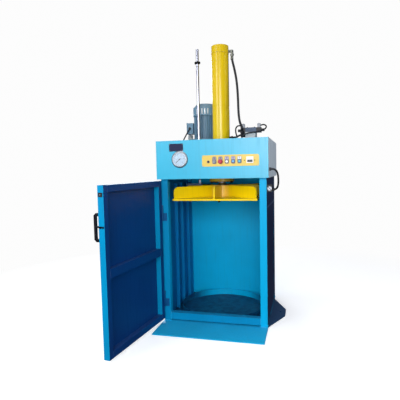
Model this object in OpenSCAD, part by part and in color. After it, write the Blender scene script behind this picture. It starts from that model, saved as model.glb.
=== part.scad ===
// Hydraulic drum press: a cabinet with a hinged door, a head with the controls and the pump
// set, and an upright cylinder that pushes a ribbed platen down onto a drum.
// Millimetres, Z up, the front looks along -Y, the origin is on the floor on the press axis.
// The door stands open and the platen is up.

/* [Cabinet] */
// width across the posts
cab_w = 860; // [760:5:1000]
// press axis to the front face of the posts
cab_front = 405; // [380:5:480]
// press axis to the rear face of the posts
cab_rear = 410; // [390:5:500]
// floor to the underside of the head
cab_h = 1195; // [1100:5:1400]
// side of the square posts
post = 55; // [45:1:70]
// wall of the square tubes
tube_t = 4; // [3:0.5:6]
// thickness of the base plate
base_t = 9; // [6:0.5:16]
// base plate beyond the posts, each side
base_lip = 3; // [0:0.5:20]
// reach of the base plate in front of the posts
apron = 300; // [150:5:400]
// reach of the side feet beyond the base plate
foot_reach = 119; // [60:1:160]
// length of the side feet along the base plate
foot_long = 700; // [400:10:760]
// length of the outer edge of the side feet
foot_short = 150; // [80:5:300]
// centre of the side feet in front of the axis
foot_y = 32; // [0:1:60]
// anchor hole in the side feet
foot_hole = 22; // [14:1:30]
// floor to the underside of the front sill
sill_z = 20; // [12:1:40]
// height of the front sill
sill_h = 57; // [40:1:80]
// thickness of the sheet metal
sheet = 4; // [2:0.5:6]
// side walls set in from the outside of the posts
wall_in = 6; // [2:0.5:15]
// back wall set in from the rear of the posts
back_in = 21; // [5:1:40]
// width of the rear posts across the cabinet
rear_post = 38; // [30:1:55]
// depth of the wall ribs
rib_d = 28; // [15:1:35]
// width of the wall ribs
rib_w = 20; // [10:1:40]
// wall ribs end this far under the head
rib_drop = 45; // [10:1:100]
// places of the wall ribs along the side wall
rib_y = [-97, 67, 262]; // [-330:1:330]
// gap between the drip ring and the walls
ring_gap = 5; // [2:0.5:40]
// thickness of the drip ring
ring_t = 5; // [3:0.5:8]
// height of the drip ring
ring_h = 53; // [30:1:65]

/* [Head] */
// head beyond the posts, each side
head_lip = 20; // [0:1:60]
// head in front of the posts
head_nose = 45; // [43:1:90]
// head behind the posts
head_tail = 20; // [0:1:80]
// height of the head
head_h = 308; // [250:1:360]
// thickness of the press plate under the head
press_t = 25; // [16:1:40]
// thickness of the top plate
top_t = 6; // [4:0.5:12]
// thickness of the crown webs
web_t = 20; // [12:1:30]
// press axis to the inner face of the crown webs
web_y = 112; // [95:1:140]
// gap between the oil tank and its neighbours
tank_gap = 8; // [4:1:20]

/* [Cylinder] */
// outside of the barrel
barrel_d = 150; // [120:1:180]
// wall of the barrel
barrel_wall = 12.5; // [8:0.5:20]
// height of the cylinder above the head
barrel_up = 832; // [780:1:900]
// height of the end cap
cap_h = 65; // [40:1:80]
// spigot of the end cap inside the bore
spigot_h = 25; // [15:1:40]
// flange under the press plate
flange_d = 220; // [190:1:260]
// thickness of the flange
flange_t = 35; // [20:1:45]
// depth of the weld groove round the barrel
groove_d = 1.5; // [0.5:0.5:3]
// width of the weld groove round the barrel
groove_w = 30; // [10:1:50]
// height of the weld groove above the head
groove_up = 285; // [200:5:400]
// flange bolts: shank
bolt_d = 16; // [12:1:20]
// flange bolts: head across corners
bolt_head_d = 27; // [20:1:32]
// flange bolts: height of the head
bolt_head_h = 10; // [7:1:14]
// number of flange bolts
bolt_n = 8; // [6:2:12]
// rod
rod_d = 60; // [45:1:80]
// length of the rod gland
gland_h = 100; // [60:1:140]
// length of the piston
piston_h = 60; // [40:1:80]
// free length above the piston when the platen is up
piston_top = 5; // [2:1:20]
// cone at the foot of the rod: large diameter
cone_d = 84; // [70:1:110]
// cone at the foot of the rod: height
cone_h = 22; // [10:1:40]

/* [Platen] */
// platen in from the outside of the posts
platen_in = 78; // [60:1:140]
// thickness of the plate
platen_t = 14; // [10:1:25]
// underside of the head to the top of the platen when it is up
platen_drop = 69; // [60:1:150]
// height of the platen over its ribs
platen_h = 113; // [80:1:125]
// thickness of the ribs
web = 12; // [8:1:20]
// ribs end this far inside the edge of the plate
web_in = 10; // [4:1:30]
// rounding of the rib ends
web_r = 42; // [20:1:60]
// hub
hub_d = 130; // [110:1:160]
// vent spike: diameter
spike_d = 20; // [12:1:30]
// vent spike: length
spike_h = 25; // [15:1:40]
// vent spike in front of the axis
spike_y = 150; // [100:5:250]

/* [Guide rod] */
// guide rod
guide_d = 25; // [18:1:35]
// press axis to the guide rod
guide_x = 205; // [180:1:240]
// top of the guide rod under the top of the cylinder
guide_drop = 8; // [-40:1:60]
// trip collar: diameter
collar_d = 52; // [40:1:64]
// trip collar: height
collar_h = 34; // [20:1:50]
// trip collar under the top of the guide rod
collar_drop = 133; // [60:1:160]
// bush in the press plate: outside
bush_d = 46; // [36:1:56]
// bush flange: diameter
bush_flange_d = 66; // [56:1:80]
// bush flange: thickness
bush_flange_t = 8; // [5:1:12]
// foot bar of the guide rod: length
lug_l = 145; // [80:1:160]
// foot bar of the guide rod: width
lug_w = 40; // [34:1:60]
// foot bar of the guide rod: thickness
lug_t = 16; // [10:1:25]
// opening for the collar in the top plate
collar_hole = 72; // [60:1:90]

/* [Pump set] */
// motor axis left of the press axis
motor_x = 195; // [180:1:230]
// motor axis behind the press axis
motor_y = 200; // [180:1:260]
// bell housing: height
bell_h = 35; // [30:1:100]
// bell housing: foot across the flats
bell_w = 250; // [200:5:280]
// bell housing: foot thickness
bell_t = 12; // [8:1:14]
// bell housing: round body
bell_d = 180; // [150:1:200]
// bell housing: top flange
bell_top_d = 310; // [250:5:320]
// bell housing: wall
bell_wall = 10; // [6:1:15]
// motor: core of the body
motor_d = 184; // [150:1:200]
// motor: length of the body
motor_h = 249; // [150:1:260]
// motor: height of the fins
fin_h = 11; // [6:1:16]
// motor: thickness of the fins
fin_t = 3; // [2:0.5:5]
// motor: number of fins
fin_n = 36; // [16:4:40]
// motor: fins start above the flange and stop under the cowl
fin_end = 14; // [8:1:30]
// fan cowl: diameter
cowl_d = 220; // [200:1:250]
// fan cowl: height
cowl_h = 110; // [80:1:140]
// fan cowl: overlap with the body
cowl_lap = 23; // [10:1:40]
// fan cowl: bevel of the top
cowl_bevel = 34; // [15:1:45]
// fan cowl: sheet
cowl_t = 3; // [2:0.5:5]
// fan cowl: number of slots
slot_n = 16; // [8:2:24]
// fan cowl: width of the slots
slot_w = 7; // [4:0.5:10]
// fan cowl: length of the slots
slot_l = 40; // [20:1:45]
// fan: diameter
fan_d = 170; // [140:1:190]
// fan: plate thickness
fan_t = 4; // [3:0.5:8]
// fan: blade height
blade_h = 30; // [15:1:40]
// fan: number of blades
blade_n = 8; // [5:1:12]
// gap under the fan plate
fan_gap = 6; // [4:1:12]
// motor shaft
shaft_d = 28; // [19:1:38]
// length of the shaft inside the pump
shaft_in = 60; // [30:1:80]
// pump: side of the body
pump_w = 100; // [80:1:130]
// pump: height
pump_h = 130; // [90:1:180]
// terminal box: reach beyond the fins
term_x = 61; // [50:1:90]
// terminal box: length along the motor side
term_y = 110; // [80:1:130]
// terminal box: height
term_h = 100; // [80:1:130]
// terminal box above the motor flange
term_gap = 52; // [2:1:60]
// width of the seat between the terminal box and the motor
term_seat = 40; // [30:1:46]
// terminal box: edge of the lid
lid_t = 6; // [3:0.5:10]

// oil filler: diameter
filler_d = 46; // [36:1:60]
// oil filler: neck
neck_d = 34; // [24:1:40]
// oil filler: height
filler_h = 100; // [60:1:110]
// oil filler: height of the cap
filler_cap = 44; // [30:1:60]
// oil filler: left of the motor axis
filler_x = 169; // [165:1:200]
// oil filler: behind the motor axis
filler_y = 85; // [60:1:150]

/* [Valve] */
// manifold: press axis to its left face
man_x = 225; // [190:1:260]
// manifold: length
man_l = 85; // [70:1:120]
// manifold: front face in front of the axis
man_front = 85; // [60:1:110]
// manifold: depth
man_w = 135; // [100:1:160]
// manifold: height
man_h = 75; // [55:1:95]
// valve body: length
valve_l = 95; // [80:1:120]
// valve body: width
valve_w = 50; // [40:1:60]
// valve body: height
valve_h = 46; // [40:1:60]
// valve axis behind the press axis
valve_y = 20; // [0:1:30]
// solenoid: length of the coil
coil_l = 42; // [30:1:55]
// solenoid: side of the coil
coil_w = 44; // [36:1:50]
// solenoid: diameter of the end tube
core_d = 24; // [16:1:32]
// solenoid: length of the end tube
core_l = 26; // [15:1:40]
// plug on the coil: side
plug_w = 28; // [22:1:34]
// plug on the coil: height
plug_h = 34; // [20:1:40]

/* [Hoses and cables] */
// diameter of the fittings in their ports
port_d = 24; // [18:1:30]
// hexagon of the fittings across corners
hex_d = 32; // [27:1:38]
// length of the hexagon
hex_l = 14; // [8:1:20]
// depth of the ports
port_in = 10; // [6:1:12]
// hose to the top of the cylinder
hose_d = 20; // [14:1:24]
// hose to the foot of the cylinder
hose_b_d = 16; // [12:1:20]
// valve cable
cable_d = 9; // [6:0.5:12]
// interlock cable
lead_d = 15; // [8:0.5:18]
// gland of the interlock cable above the underside of the head
lead_up = 66; // [40:1:120]
// cable glands: diameter
gland_nut_d = 24; // [18:1:28]
// cable glands: length
gland_nut_l = 16; // [10:1:24]

/* [Door] */
// hinge axis in from the outside of the posts
hinge_in = 6; // [0:0.5:10]
// hinge axis in front of the posts
hinge_y = 10; // [9:0.5:14]
// hinge axis to the hinge edge of the door
door_gap = 12; // [10.5:0.5:18]
// door, from the hinge axis, narrower than the cabinet
door_short = 46; // [20:1:80]
// thickness of the door
door_t = 45; // [35:1:60]
// hinge axis to the inner face of the closed door
door_in = 4; // [3.5:0.5:6]
// thickness of the door skin
skin_t = 3; // [1.5:0.5:5]
// floor to the underside of the door
door_z = 30; // [20:1:60]
// head to the top of the door
door_drop = 12; // [8:1:30]
// width of the door frame tubes
stile = 46; // [35:1:60]
// underside of the middle rail as a share of the height of the door
rail_share = 0.4666; // [0.3:0.0002:0.7]
// height of the middle rail
rail_h = 62; // [40:1:80]
// angle at which the door stands open
door_open = 97.2; // [0:0.1:120]
// hinge barrel: diameter
knuckle_d = 18; // [14:0.5:20]
// hinge barrel: length of the pair
knuckle_l = 130; // [90:1:160]
// hinge pin
pin_d = 8; // [6:0.5:10]
// hinge leaf: thickness
leaf_t = 3; // [2:0.5:4]
// hinge leaf: width
leaf_w = 38; // [25:1:50]
// middle of the lower hinge above the underside of the door
hinge_low = 165; // [80:1:300]
// middle of the upper hinge under the top of the door
hinge_high = 267; // [80:1:300]
// handle: bar diameter
grip_d = 15; // [10:0.5:20]
// handle: distance of the bar from the skin
grip_out = 38; // [30:1:60]
// handle: length
grip_l = 190; // [120:1:220]
// lower end of the handle under the top of the door
grip_drop = 370; // [240:1:450]
// handle in from the free edge
grip_in = 18; // [12:1:40]
// edge catch: height
catch_h = 28; // [20:1:40]
// edge catch: depth along the edge
catch_w = 30; // [20:1:36]
// edge catch: thickness
catch_t = 5; // [3:0.5:10]
// edge catch under the top of the door
catch_drop = 75; // [40:1:80]
// edge catch: ball
catch_ball = 14; // [8:0.5:18]
// turn latch: length
latch_l = 36; // [24:1:42]
// turn latch: width
latch_w = 12; // [8:0.5:18]
// turn latch: thickness
latch_t = 6; // [4:0.5:10]
// turn latch: pivot
latch_pin = 8; // [5:0.5:10]
// turn latch: pivot length in the door
latch_in = 20; // [10:1:30]
// turn latch under the top of the door
latch_drop = 271; // [160:1:400]

/* [Gauge] */
// gauge: press axis to its centre, to the left
gauge_x = 251; // [230:1:280]
// gauge: centre above the underside of the head
gauge_up = 157; // [100:1:200]
// gauge: flange
gauge_d = 136; // [110:1:150]
// gauge: window
gauge_win = 106; // [80:1:120]
// gauge: front of the flange
gauge_out = 12; // [8:0.5:18]
// gauge: depth of the window
gauge_deep = 7; // [5:0.5:10]
// gauge: body behind the panel
gauge_body = 100; // [80:1:110]
// gauge: length of the body behind the panel
gauge_in = 42; // [25:1:60]
// gauge: rounding of the flange
gauge_r = 4; // [2:0.5:6]
// needle: length
needle_l = 38; // [28:1:45]
// needle: tail
needle_tail = 13; // [8:1:18]
// needle: width
needle_w = 4; // [2:0.5:6]
// needle: thickness
needle_t = 1.2; // [0.8:0.1:2]
// needle: hub
needle_hub = 12; // [8:0.5:16]
// needle: shaft
needle_pin = 4; // [3:0.5:6]
// needle: gap over the dial
needle_gap = 2; // [1:0.5:3]
// angle of the needle from upright
needle_turn = 131; // [0:1:180]

/* [Controls] */
// control plate: left edge from the press axis
plate_x = -67; // [-90:1:-40]
// control plate: width
plate_w = 447; // [400:1:470]
// control plate: underside above the underside of the head
plate_up = 95; // [40:1:120]
// control plate: height
plate_h = 88; // [80:1:120]
// control plate: thickness
plate_t = 2; // [1:0.5:4]
// control plate: rounding
plate_r = 10; // [4:1:20]
// places of the five switches across the plate
switch_x = [32, 81, 131, 181, 230]; // [20:1:250]
// switches above the underside of the control plate
switch_up = 37; // [30:1:60]
// switch bezel: diameter
bezel_d = 30; // [26:0.5:34]
// switch bezel: height
bezel_h = 4; // [3:0.5:6]
// switch body behind the plate: diameter
body_d = 22; // [20:0.5:24]
// switch body behind the plate: length
body_l = 34; // [24:1:50]
// push-button: diameter
cap_d = 18; // [16:0.5:20]
// push-button: stands out of the bezel
cap_out = 6; // [5:0.5:10]
// push-button: length inside the body
cap_in = 14; // [8:1:20]
// stop button: head diameter
stop_d = 36; // [30:0.5:42]
// stop button: head height
stop_h = 12; // [8:0.5:18]
// stop button: gap under the head
stop_gap = 7; // [6:0.5:10]
// selector: knob diameter
knob_d = 24; // [20:0.5:28]
// selector: knob height
knob_h = 6; // [4:0.5:10]
// selector: grip width
knob_w = 7; // [5:0.5:10]
// selector: grip height
knob_grip = 8; // [5:0.5:14]
// selector: angle from upright
knob_turn = 30; // [0:5:60]
// key switch: place across the plate
key_x = -16; // [-30:1:0]
// key switch: bezel diameter
key_d = 22; // [18:0.5:26]
// key switch: barrel diameter
key_core = 13; // [10:0.5:16]
// key switch: slot width
key_slot = 2.5; // [1.5:0.1:4]
// key switch: slot depth
key_deep = 3; // [2:0.5:5]
// counter: left edge across the plate
count_x = 284; // [270:1:300]
// counter: width
count_w = 53; // [48:1:60]
// counter: underside above the underside of the control plate
count_up = 22; // [20:1:45]
// counter: height
count_h = 48; // [40:1:55]
// counter: front above the plate
count_out = 7; // [4:0.5:12]
// counter: depth of the window
count_deep = 2; // [1:0.5:4]
// counter: frame round the window
count_edge = 6; // [4:0.5:10]
// counter: body behind the plate
count_in = 60; // [40:1:80]

/* [Interlock] */
// interlock switch: width beyond the post
lock_w = 40; // [30:1:55]
// interlock switch: length along the post side
lock_l = 75; // [60:1:120]
// interlock switch: height
lock_h = 56; // [45:1:80]
// interlock switch: front behind the front of the post
lock_in = 10; // [4:1:30]
// underside of the interlock switch under the head
lock_drop = 111; // [80:1:200]
// interlock roller: diameter
roller_d = 33; // [26:0.5:40]
// interlock roller: thickness
roller_t = 12; // [8:0.5:18]
// interlock roller: slot width
roller_slot = 5; // [3:0.5:8]
// interlock roller: slot depth
roller_deep = 2; // [1:0.5:4]

/* [Fits] */
// running fit, all round
run_fit = 0.05; // [0.02:0.01:0.1]
// free clearance, all round
free_fit = 0.5; // [0.3:0.1:1]
// gap between the two halves of a hinge
hinge_gap = 0.3; // [0.2:0.05:0.5]
// gap between the tubes of the door under the welds
weld_gap = 0.2; // [0.1:0.05:0.5]

/* [Hidden] */
$fn = 64;
// number of sides of a hexagon
hexagon = 6;
// cuts reach this far past the faces that they go through
over = 1;
// halves
half = 1 / 2;
// colours
blue = [0.10, 0.62, 0.80];
navy = [0.07, 0.11, 0.18];
yellow = [0.84, 0.70, 0.02];
steel = [0.62, 0.64, 0.66];
grey = [0.45, 0.52, 0.56];
black = [0.06, 0.06, 0.07];
pale = [0.93, 0.90, 0.62];
white = [0.92, 0.92, 0.90];
red = [0.75, 0.08, 0.08];
// sizes that follow the barrel and the cabinet
bore_d = barrel_d - barrel_wall * 2;
base_w = cab_w + base_lip * 2;
head_w = cab_w + head_lip * 2;
head_front = cab_front + head_nose;
head_rear = cab_rear + head_tail;
platen_w = cab_w - platen_in * 2;
hinge_x = cab_w * half - hinge_in;
door_w = cab_w - door_short;
// inside faces and levels that several pieces share
in_x = cab_w * half - post;
in_front = cab_front - post;
in_rear = cab_rear - post;
wall_x = cab_w * half - wall_in - sheet;
rear_x = cab_w * half - rear_post;
back_y = cab_rear - back_in - sheet;
ring_r = min(wall_x - rib_d, back_y) - ring_gap - ring_t;
platen_z = cab_h - platen_drop - platen_h;
head_z = cab_h + press_t;
head_top_z = cab_h + head_h;
lid_z = head_top_z - top_t;
front_in = head_front - sheet;
cap_z = head_top_z + barrel_up - cap_h;
guide_z = head_top_z + barrel_up - guide_drop;
collar_z = guide_z - collar_drop;
flange_z = cab_h - flange_t;
piston_z = cap_z - spigot_h - piston_top - piston_h;
hub_z = platen_z + platen_h;
tank_y = web_y + web_t + tank_gap;
tank_x = head_w * half - sheet - tank_gap;
motor_z = head_top_z + bell_h;
motor_end = motor_z + motor_h;
fan_z = motor_end + fan_gap;
term_z = motor_z + fin_end + term_gap;
term_in = -motor_x - motor_d * half - fin_h - free_fit;
man_top = head_top_z + man_h;
valve_x = man_x + man_l - valve_l;
coil_z = man_top + valve_h * half;
door_top = cab_h - door_drop;
door_h = door_top - door_z;
rail_z = door_z + door_h * rail_share;
hinge_z = [door_z + hinge_low, door_top - hinge_high];
grip_z = door_top - grip_drop;
latch_z = door_top - latch_drop;
gauge_z = cab_h + gauge_up;
plate_z = cab_h + plate_up;
switch_z = plate_z + switch_up;
count_z = plate_z + count_up;
lock_z = cab_h - lock_drop;
axis_x = -hinge_x;
axis_y = -cab_front - hinge_y;
face_y = -head_front - plate_t;
bezel_y = face_y - bezel_h;
dial_y = -head_front - gauge_out + gauge_deep;
// ports: cylinder cap, cylinder foot, manifold to the cap, manifold to the foot
port_cap_z = cap_z + cap_h * half * half;
port_foot_z = head_top_z + port_d + hex_l;
port_a = [man_x, -man_front + port_d, head_top_z + man_h * half + hex_l * half];
port_b = [man_x, -man_front + port_d + hex_d + cable_d * half * half, port_a[2] + hex_l];
// bends of the hose fittings
cap_bend = barrel_d * half + hex_d;
man_bend = man_x - hex_d;
bend_drop = hex_d + hex_l * half;
hose_top = port_cap_z - bend_drop;
hose_low = port_a[2] + bend_drop;
foot_end = barrel_d * half + hex_l * 2;
b_end = man_x - hex_l * 2;
// cable ends
lead_y = -cab_front + lock_in + lock_l - gland_nut_d;
lead_z = lock_z + lock_h * half - gland_nut_d * half;
lead_x = cab_w * half + lock_w + gland_nut_l;
lead_top = [head_w * half + gland_nut_l, -front_in + gland_nut_d * 2, cab_h + lead_up];
cable_x = man_x + man_l + (coil_l + plug_w) * half;
cable_top = [cable_x, valve_y, coil_z + (coil_w + plug_h) * half];
cable_end = [man_x - hex_d, -man_front - hex_d * half, head_top_z + gland_nut_l];
left_top = [man_x + man_l - valve_l - (coil_l + plug_w) * half, valve_y, cable_top[2]];
left_end = [cable_end[0] - hex_d - cable_d * half, -man_front - cable_d * half, head_top_z + gland_nut_l];
motor_top = [term_in - term_x * half, motor_y - term_y * half - gland_nut_l, term_z + term_h * half];
motor_low = [term_in - term_x - gland_nut_d, motor_y - bell_w * half + gland_nut_d,
    head_top_z + gland_nut_l];
// hand-placed points of the hoses and the valve cable, from the top plate on the press axis
main_mid = [[108, -2, 707], [128, -12, 622], [143, -19, 544], [153, -27, 459], [159, -36, 364],
    [164, -46, 247], [174, -55, 173], [190, -61, 125]];
foot_mid = [[126, -4, 40.5], [150, -13.4, 48.2], [174, -23, 56]];
valve_mid = [[368, 17, 142], [390, 4, 133], [396, -22, 113], [375, -60, 89], [325, -98, 72],
             [262, -112, 65], [214, -110, 49]];
left_mid = [[160, 18, 142], [141, 6, 135], [133, -20, 112], [139, -52, 76], [151, -78, 44]];
// hand-placed points of the motor cable, from the top plate on the motor axis
motor_mid = [[-134, -92, 132], [-148, -103, 105], [-167, -105, 72], [-184, -102, 42]];
// hand-placed points of the interlock cable, from the lower right front corner of the head
lead_mid = [[34, 52.5, 65], [53, 59, 53], [64, 73, 25], [67, 87, -15], [65, 97, -54],
            [56, 103, -81]];
function moved(p, v) = [for (q = p) q + v];
main_pts = concat([[cap_bend, 0, hose_top]], moved(main_mid, [0, 0, head_top_z]),
    [[man_bend, port_a[1], hose_low]]);
foot_pts = concat([[foot_end, 0, port_foot_z]], moved(foot_mid, [0, 0, head_top_z]),
    [[b_end, port_b[1], port_b[2]]]);
valve_pts = concat([cable_top], moved(valve_mid, [0, 0, head_top_z]), [cable_end]);
left_pts = concat([left_top], moved(left_mid, [0, 0, head_top_z]), [left_end]);
motor_pts = concat([motor_top], moved(motor_mid, [-motor_x, motor_y, head_top_z]), [motor_low]);
lead_pts = concat([lead_top], moved(lead_mid, [head_w * half, -head_front, cab_h]),
    [[lead_x, lead_y, lead_z]]);

// box from its low corner and its high corner
module span(a, b) {
    translate(a) cube(b - a);
}

// cylinder along X from x0 to x1
module bar_x(x0, x1, d, y, z) {
    translate([x0, y, z]) rotate([0, 90, 0]) cylinder(d = d, h = x1 - x0);
}

// cylinder along Y from y0 to y1
module bar_y(y0, y1, d, x, z) {
    translate([x, y1, z]) rotate([90, 0, 0]) cylinder(d = d, h = y1 - y0);
}

// cylinder along Z from z0 to z1
module bar_z(z0, z1, d, x, y) {
    translate([x, y, z0]) cylinder(d = d, h = z1 - z0);
}

// places a thing of the closed door, drawn about the hinge axis, where the door stands
module on_door() {
    translate([axis_x, axis_y, 0]) rotate(-door_open) children();
}

// smooth curve through the points of a hose or cable
function unit(v) = v / norm(v);
function pick(p, i) = p[max(0, min(len(p) - 1, i))];
function curve(a, b, c, d, t) = b + (c - a) * t * half
    + (a * 2 - b * 5 + c * 4 - d) * t * t * half + (b * 3 - a - c * 3 + d) * t * t * t * half;
function route(p, n) = concat([for (i = [0 : len(p) - 2]) for (k = [0 : n - 1])
    curve(pick(p, i - 1), p[i], p[i + 1], pick(p, i + 2), k / n)], [p[len(p) - 1]]);
function heading(q, i, t0, t1) = i == 0 ? t0 : i == len(q) - 1 ? t1 : unit(q[i + 1] - q[i - 1]);
function ring(c, t, ref, r, m) = let (a = unit(cross(t, ref)), b = cross(t, a))
    [for (k = [0 : m - 1]) c + (a * cos(360 * k / m) + b * sin(360 * k / m)) * r];

// hose or cable of diameter d along the points, n steps per span and m sides
module cord(p, n, m, d, ref, t0, t1) {
    q = route(p, n);
    e = len(q) - 1;
    pts = [for (i = [0 : e]) each ring(q[i], heading(q, i, t0, t1), ref, d * half, m)];
    skin = [for (i = [0 : e - 1]) for (k = [0 : m - 1])
        [i * m + k, i * m + (k + 1) % m, (i + 1) * m + (k + 1) % m, (i + 1) * m + k]];
    first = [for (k = [m - 1 : -1 : 0]) k];
    last = [for (k = [0 : m - 1]) e * m + k];
    polyhedron(points = pts, faces = concat([first], skin, [last]));
}

// floor plate that carries the cabinet and reaches out in front of it
module base_plate() {
    color(blue) span([-base_w * half, -cab_front - apron, 0], [base_w * half, cab_rear, base_t]);
}

// two floor plates at the sides with an anchor hole each
module side_feet() {
    color(navy) for (s = [-1, 1]) difference() {
        translate([s * base_w * half, -foot_y, 0]) linear_extrude(base_t)
            polygon([[0, -foot_long * half], [s * foot_reach, -foot_short * half],
                [s * foot_reach, foot_short * half], [0, foot_long * half]]);
        bar_z(-over, base_t + over, foot_hole, s * (base_w * half + foot_reach - foot_hole * 2), -foot_y);
    }
}

// four upright tubes, the rear ones narrower
module posts() {
    color(blue) for (s = [-1, 1]) for (p = [[-cab_front, post], [in_rear, rear_post]])
        let (x = s < 0 ? -cab_w * half : cab_w * half - p[1]) difference() {
            span([x, p[0], base_t], [x + p[1], p[0] + post, cab_h]);
            span([x + tube_t, p[0] + tube_t, base_t - over],
                [x + p[1] - tube_t, p[0] + post - tube_t, cab_h + over]);
        }
}

// front sill between the posts
module sill() {
    color(blue) difference() {
        span([-in_x, -cab_front, sill_z], [in_x, -in_front, sill_z + sill_h]);
        span([-in_x - over, -cab_front + tube_t, sill_z + tube_t],
            [in_x + over, -in_front - tube_t, sill_z + sill_h - tube_t]);
    }
}

// side wall with its upright ribs, the last one folded over to the rear post; s = -1 left, 1 right
module side_wall(s) {
    last = len(rib_y) - 1;
    x = s < 0 ? -wall_x : wall_x - rib_d;
    h = cab_h - base_t - rib_drop;
    translate([s < 0 ? -wall_x - sheet : wall_x, -in_front, base_t])
        cube([sheet, in_front + in_rear, cab_h - base_t]);
    for (i = [0 : last - 1]) translate([x, rib_y[i], base_t]) cube([rib_d, rib_w, h]);
    difference() {
        translate([x, rib_y[last], base_t]) cube([rib_d, in_rear - rib_y[last], h]);
        translate([x + sheet, rib_y[last] + sheet, base_t - over])
            cube([rib_d - sheet * 2, in_rear - rib_y[last] - sheet * 2, h + over * 2]);
    }
}

module side_wall_l() {
    color(blue) side_wall(-1);
}

module side_wall_r() {
    color(blue) side_wall(1);
}

// back wall between the rear posts
module back_wall() {
    color(blue) span([-rear_x, back_y, base_t], [rear_x, back_y + sheet, cab_h]);
}

// low round wall on the floor plate, open at the sill
module drip_ring() {
    color(blue) difference() {
        bar_z(base_t, base_t + ring_h, (ring_r + ring_t) * 2, 0, 0);
        bar_z(base_t - over, base_t + ring_h + over, ring_r * 2, 0, 0);
        span([-head_w, -head_front - apron, base_t - over], [head_w, -in_front, base_t + ring_h + over]);
    }
}

// thick plate on the posts that takes the push of the cylinder, with a web in front and behind
module press_plate() {
    color(blue) difference() {
        span([-head_w * half + sheet, -front_in, cab_h],
            [head_w * half - sheet, head_rear - sheet, head_z]);
        bar_z(cab_h - over, head_z + over, barrel_d + free_fit * 2, 0, 0);
        bar_z(cab_h - over, head_z + over, bush_d + run_fit * 2, -guide_x, 0);
        flange_circle() bar_z(cab_h - over, cab_h + bolt_d, bolt_d + run_fit * 2, 0, 0);
    }
    color(blue) for (y = [-web_y - web_t, web_y])
        span([-head_w * half + sheet, y, head_z], [head_w * half - sheet, y + web_t, lid_z]);
}

// places of the flange bolts
module flange_circle() {
    for (i = [0 : bolt_n - 1]) rotate(360 * (i + half) / bolt_n)
        translate([(flange_d + barrel_d) * half * half, 0, 0]) children();
}

// front panel of the head with the openings for the gauge and the controls
module head_front_panel() {
    color(blue) difference() {
        span([-head_w * half, -head_front, cab_h], [head_w * half, -front_in, head_top_z]);
        bar_y(-head_front - over, -front_in + over, gauge_body + free_fit * 2, -gauge_x, gauge_z);
        panel_cuts(-head_front - over, -front_in + over);
    }
}

// openings of the controls from y0 to y1
module panel_cuts(y0, y1) {
    for (x = switch_x) bar_y(y0, y1, body_d + free_fit * 2, x, switch_z);
    bar_y(y0, y1, body_d - bezel_h + free_fit * 2, key_x, switch_z);
    span([count_x + count_edge * half, y0, count_z + count_edge * half],
        [count_x + count_w - count_edge * half, y1, count_z + count_h - count_edge * half]);
}

// folded sheet round the two sides and the rear of the head
module head_shell() {
    color(blue) difference() {
        span([-head_w * half, -front_in, cab_h], [head_w * half, head_rear, head_top_z]);
        span([-head_w * half + sheet, -front_in - over, cab_h - over],
            [head_w * half - sheet, head_rear - sheet, head_top_z + over]);
    }
}

// plate that closes the head and carries the pump set and the valve
module top_plate() {
    color(blue) difference() {
        span([-head_w * half + sheet, -front_in, lid_z],
            [head_w * half - sheet, head_rear - sheet, head_top_z]);
        bar_z(lid_z - over, head_top_z + over, barrel_d + free_fit * 2, 0, 0);
        bar_z(lid_z - over, head_top_z + over, collar_hole, -guide_x, 0);
        bar_z(lid_z - over, head_top_z + over, shaft_d * 2, -motor_x, motor_y);
    }
}

// oil tank in the rear of the head, under the top plate
module oil_tank() {
    color(grey) difference() {
        span([-tank_x, tank_y, head_z], [tank_x, head_rear - sheet - tank_gap, lid_z]);
        span([-tank_x + sheet, tank_y + sheet, head_z + sheet],
            [tank_x - sheet, head_rear - sheet * 2 - tank_gap, lid_z + over]);
    }
}

// filler of the tank: neck and breather cap on the top plate
module oil_filler() {
    x = -motor_x - filler_x;
    y = motor_y + filler_y;
    color(grey) {
        bar_z(head_top_z, head_top_z + filler_h - filler_cap, neck_d, x, y);
        bar_z(head_top_z + filler_h - filler_cap, head_top_z + filler_h, filler_d, x, y);
    }
}

// cylinder tube with its bottom flange, the weld groove and the foot port
module barrel() {
    color(yellow) difference() {
        rotate_extrude() polygon([[bore_d * half, flange_z], [flange_d * half, flange_z],
            [flange_d * half, cab_h], [barrel_d * half, cab_h],
            [barrel_d * half, head_top_z + groove_up - groove_d],
            [barrel_d * half - groove_d, head_top_z + groove_up],
            [barrel_d * half - groove_d, head_top_z + groove_up + groove_w],
            [barrel_d * half, head_top_z + groove_up + groove_w + groove_d],
            [barrel_d * half, cap_z], [bore_d * half, cap_z]]);
        flange_circle() bar_z(flange_z - over, cab_h + over, bolt_d + free_fit * 2, 0, 0);
        bar_x(bore_d * half - groove_w, barrel_d * half + over, port_d + run_fit * 2, 0, port_foot_z);
    }
}

// end cap with its spigot and the top port
module cylinder_cap() {
    color(yellow) difference() {
        union() {
            bar_z(cap_z, cap_z + cap_h - groove_d * 2, barrel_d, 0, 0);
            translate([0, 0, cap_z + cap_h - groove_d * 2])
                cylinder(d1 = barrel_d, d2 = barrel_d - groove_d * 4, h = groove_d * 2);
            bar_z(cap_z - spigot_h, cap_z, bore_d - run_fit * 2, 0, 0);
        }
        bar_x(barrel_d * half - port_in, barrel_d * half + over, port_d + run_fit * 2, 0, port_cap_z);
    }
}

// guide of the rod in the foot of the barrel
module rod_gland() {
    color(steel) difference() {
        bar_z(flange_z, flange_z + gland_h, bore_d - run_fit * 2, 0, 0);
        bar_z(flange_z - over, flange_z + gland_h + over, rod_d + run_fit * 2, 0, 0);
    }
}

// hexagon bolts through the flange into the press plate
module flange_bolts() {
    color(steel) flange_circle() {
        bar_z(flange_z, cab_h + bolt_d - over, bolt_d, 0, 0);
        translate([0, 0, flange_z - bolt_head_h])
            cylinder(d = bolt_head_d, h = bolt_head_h, $fn = hexagon);
    }
}

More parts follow.
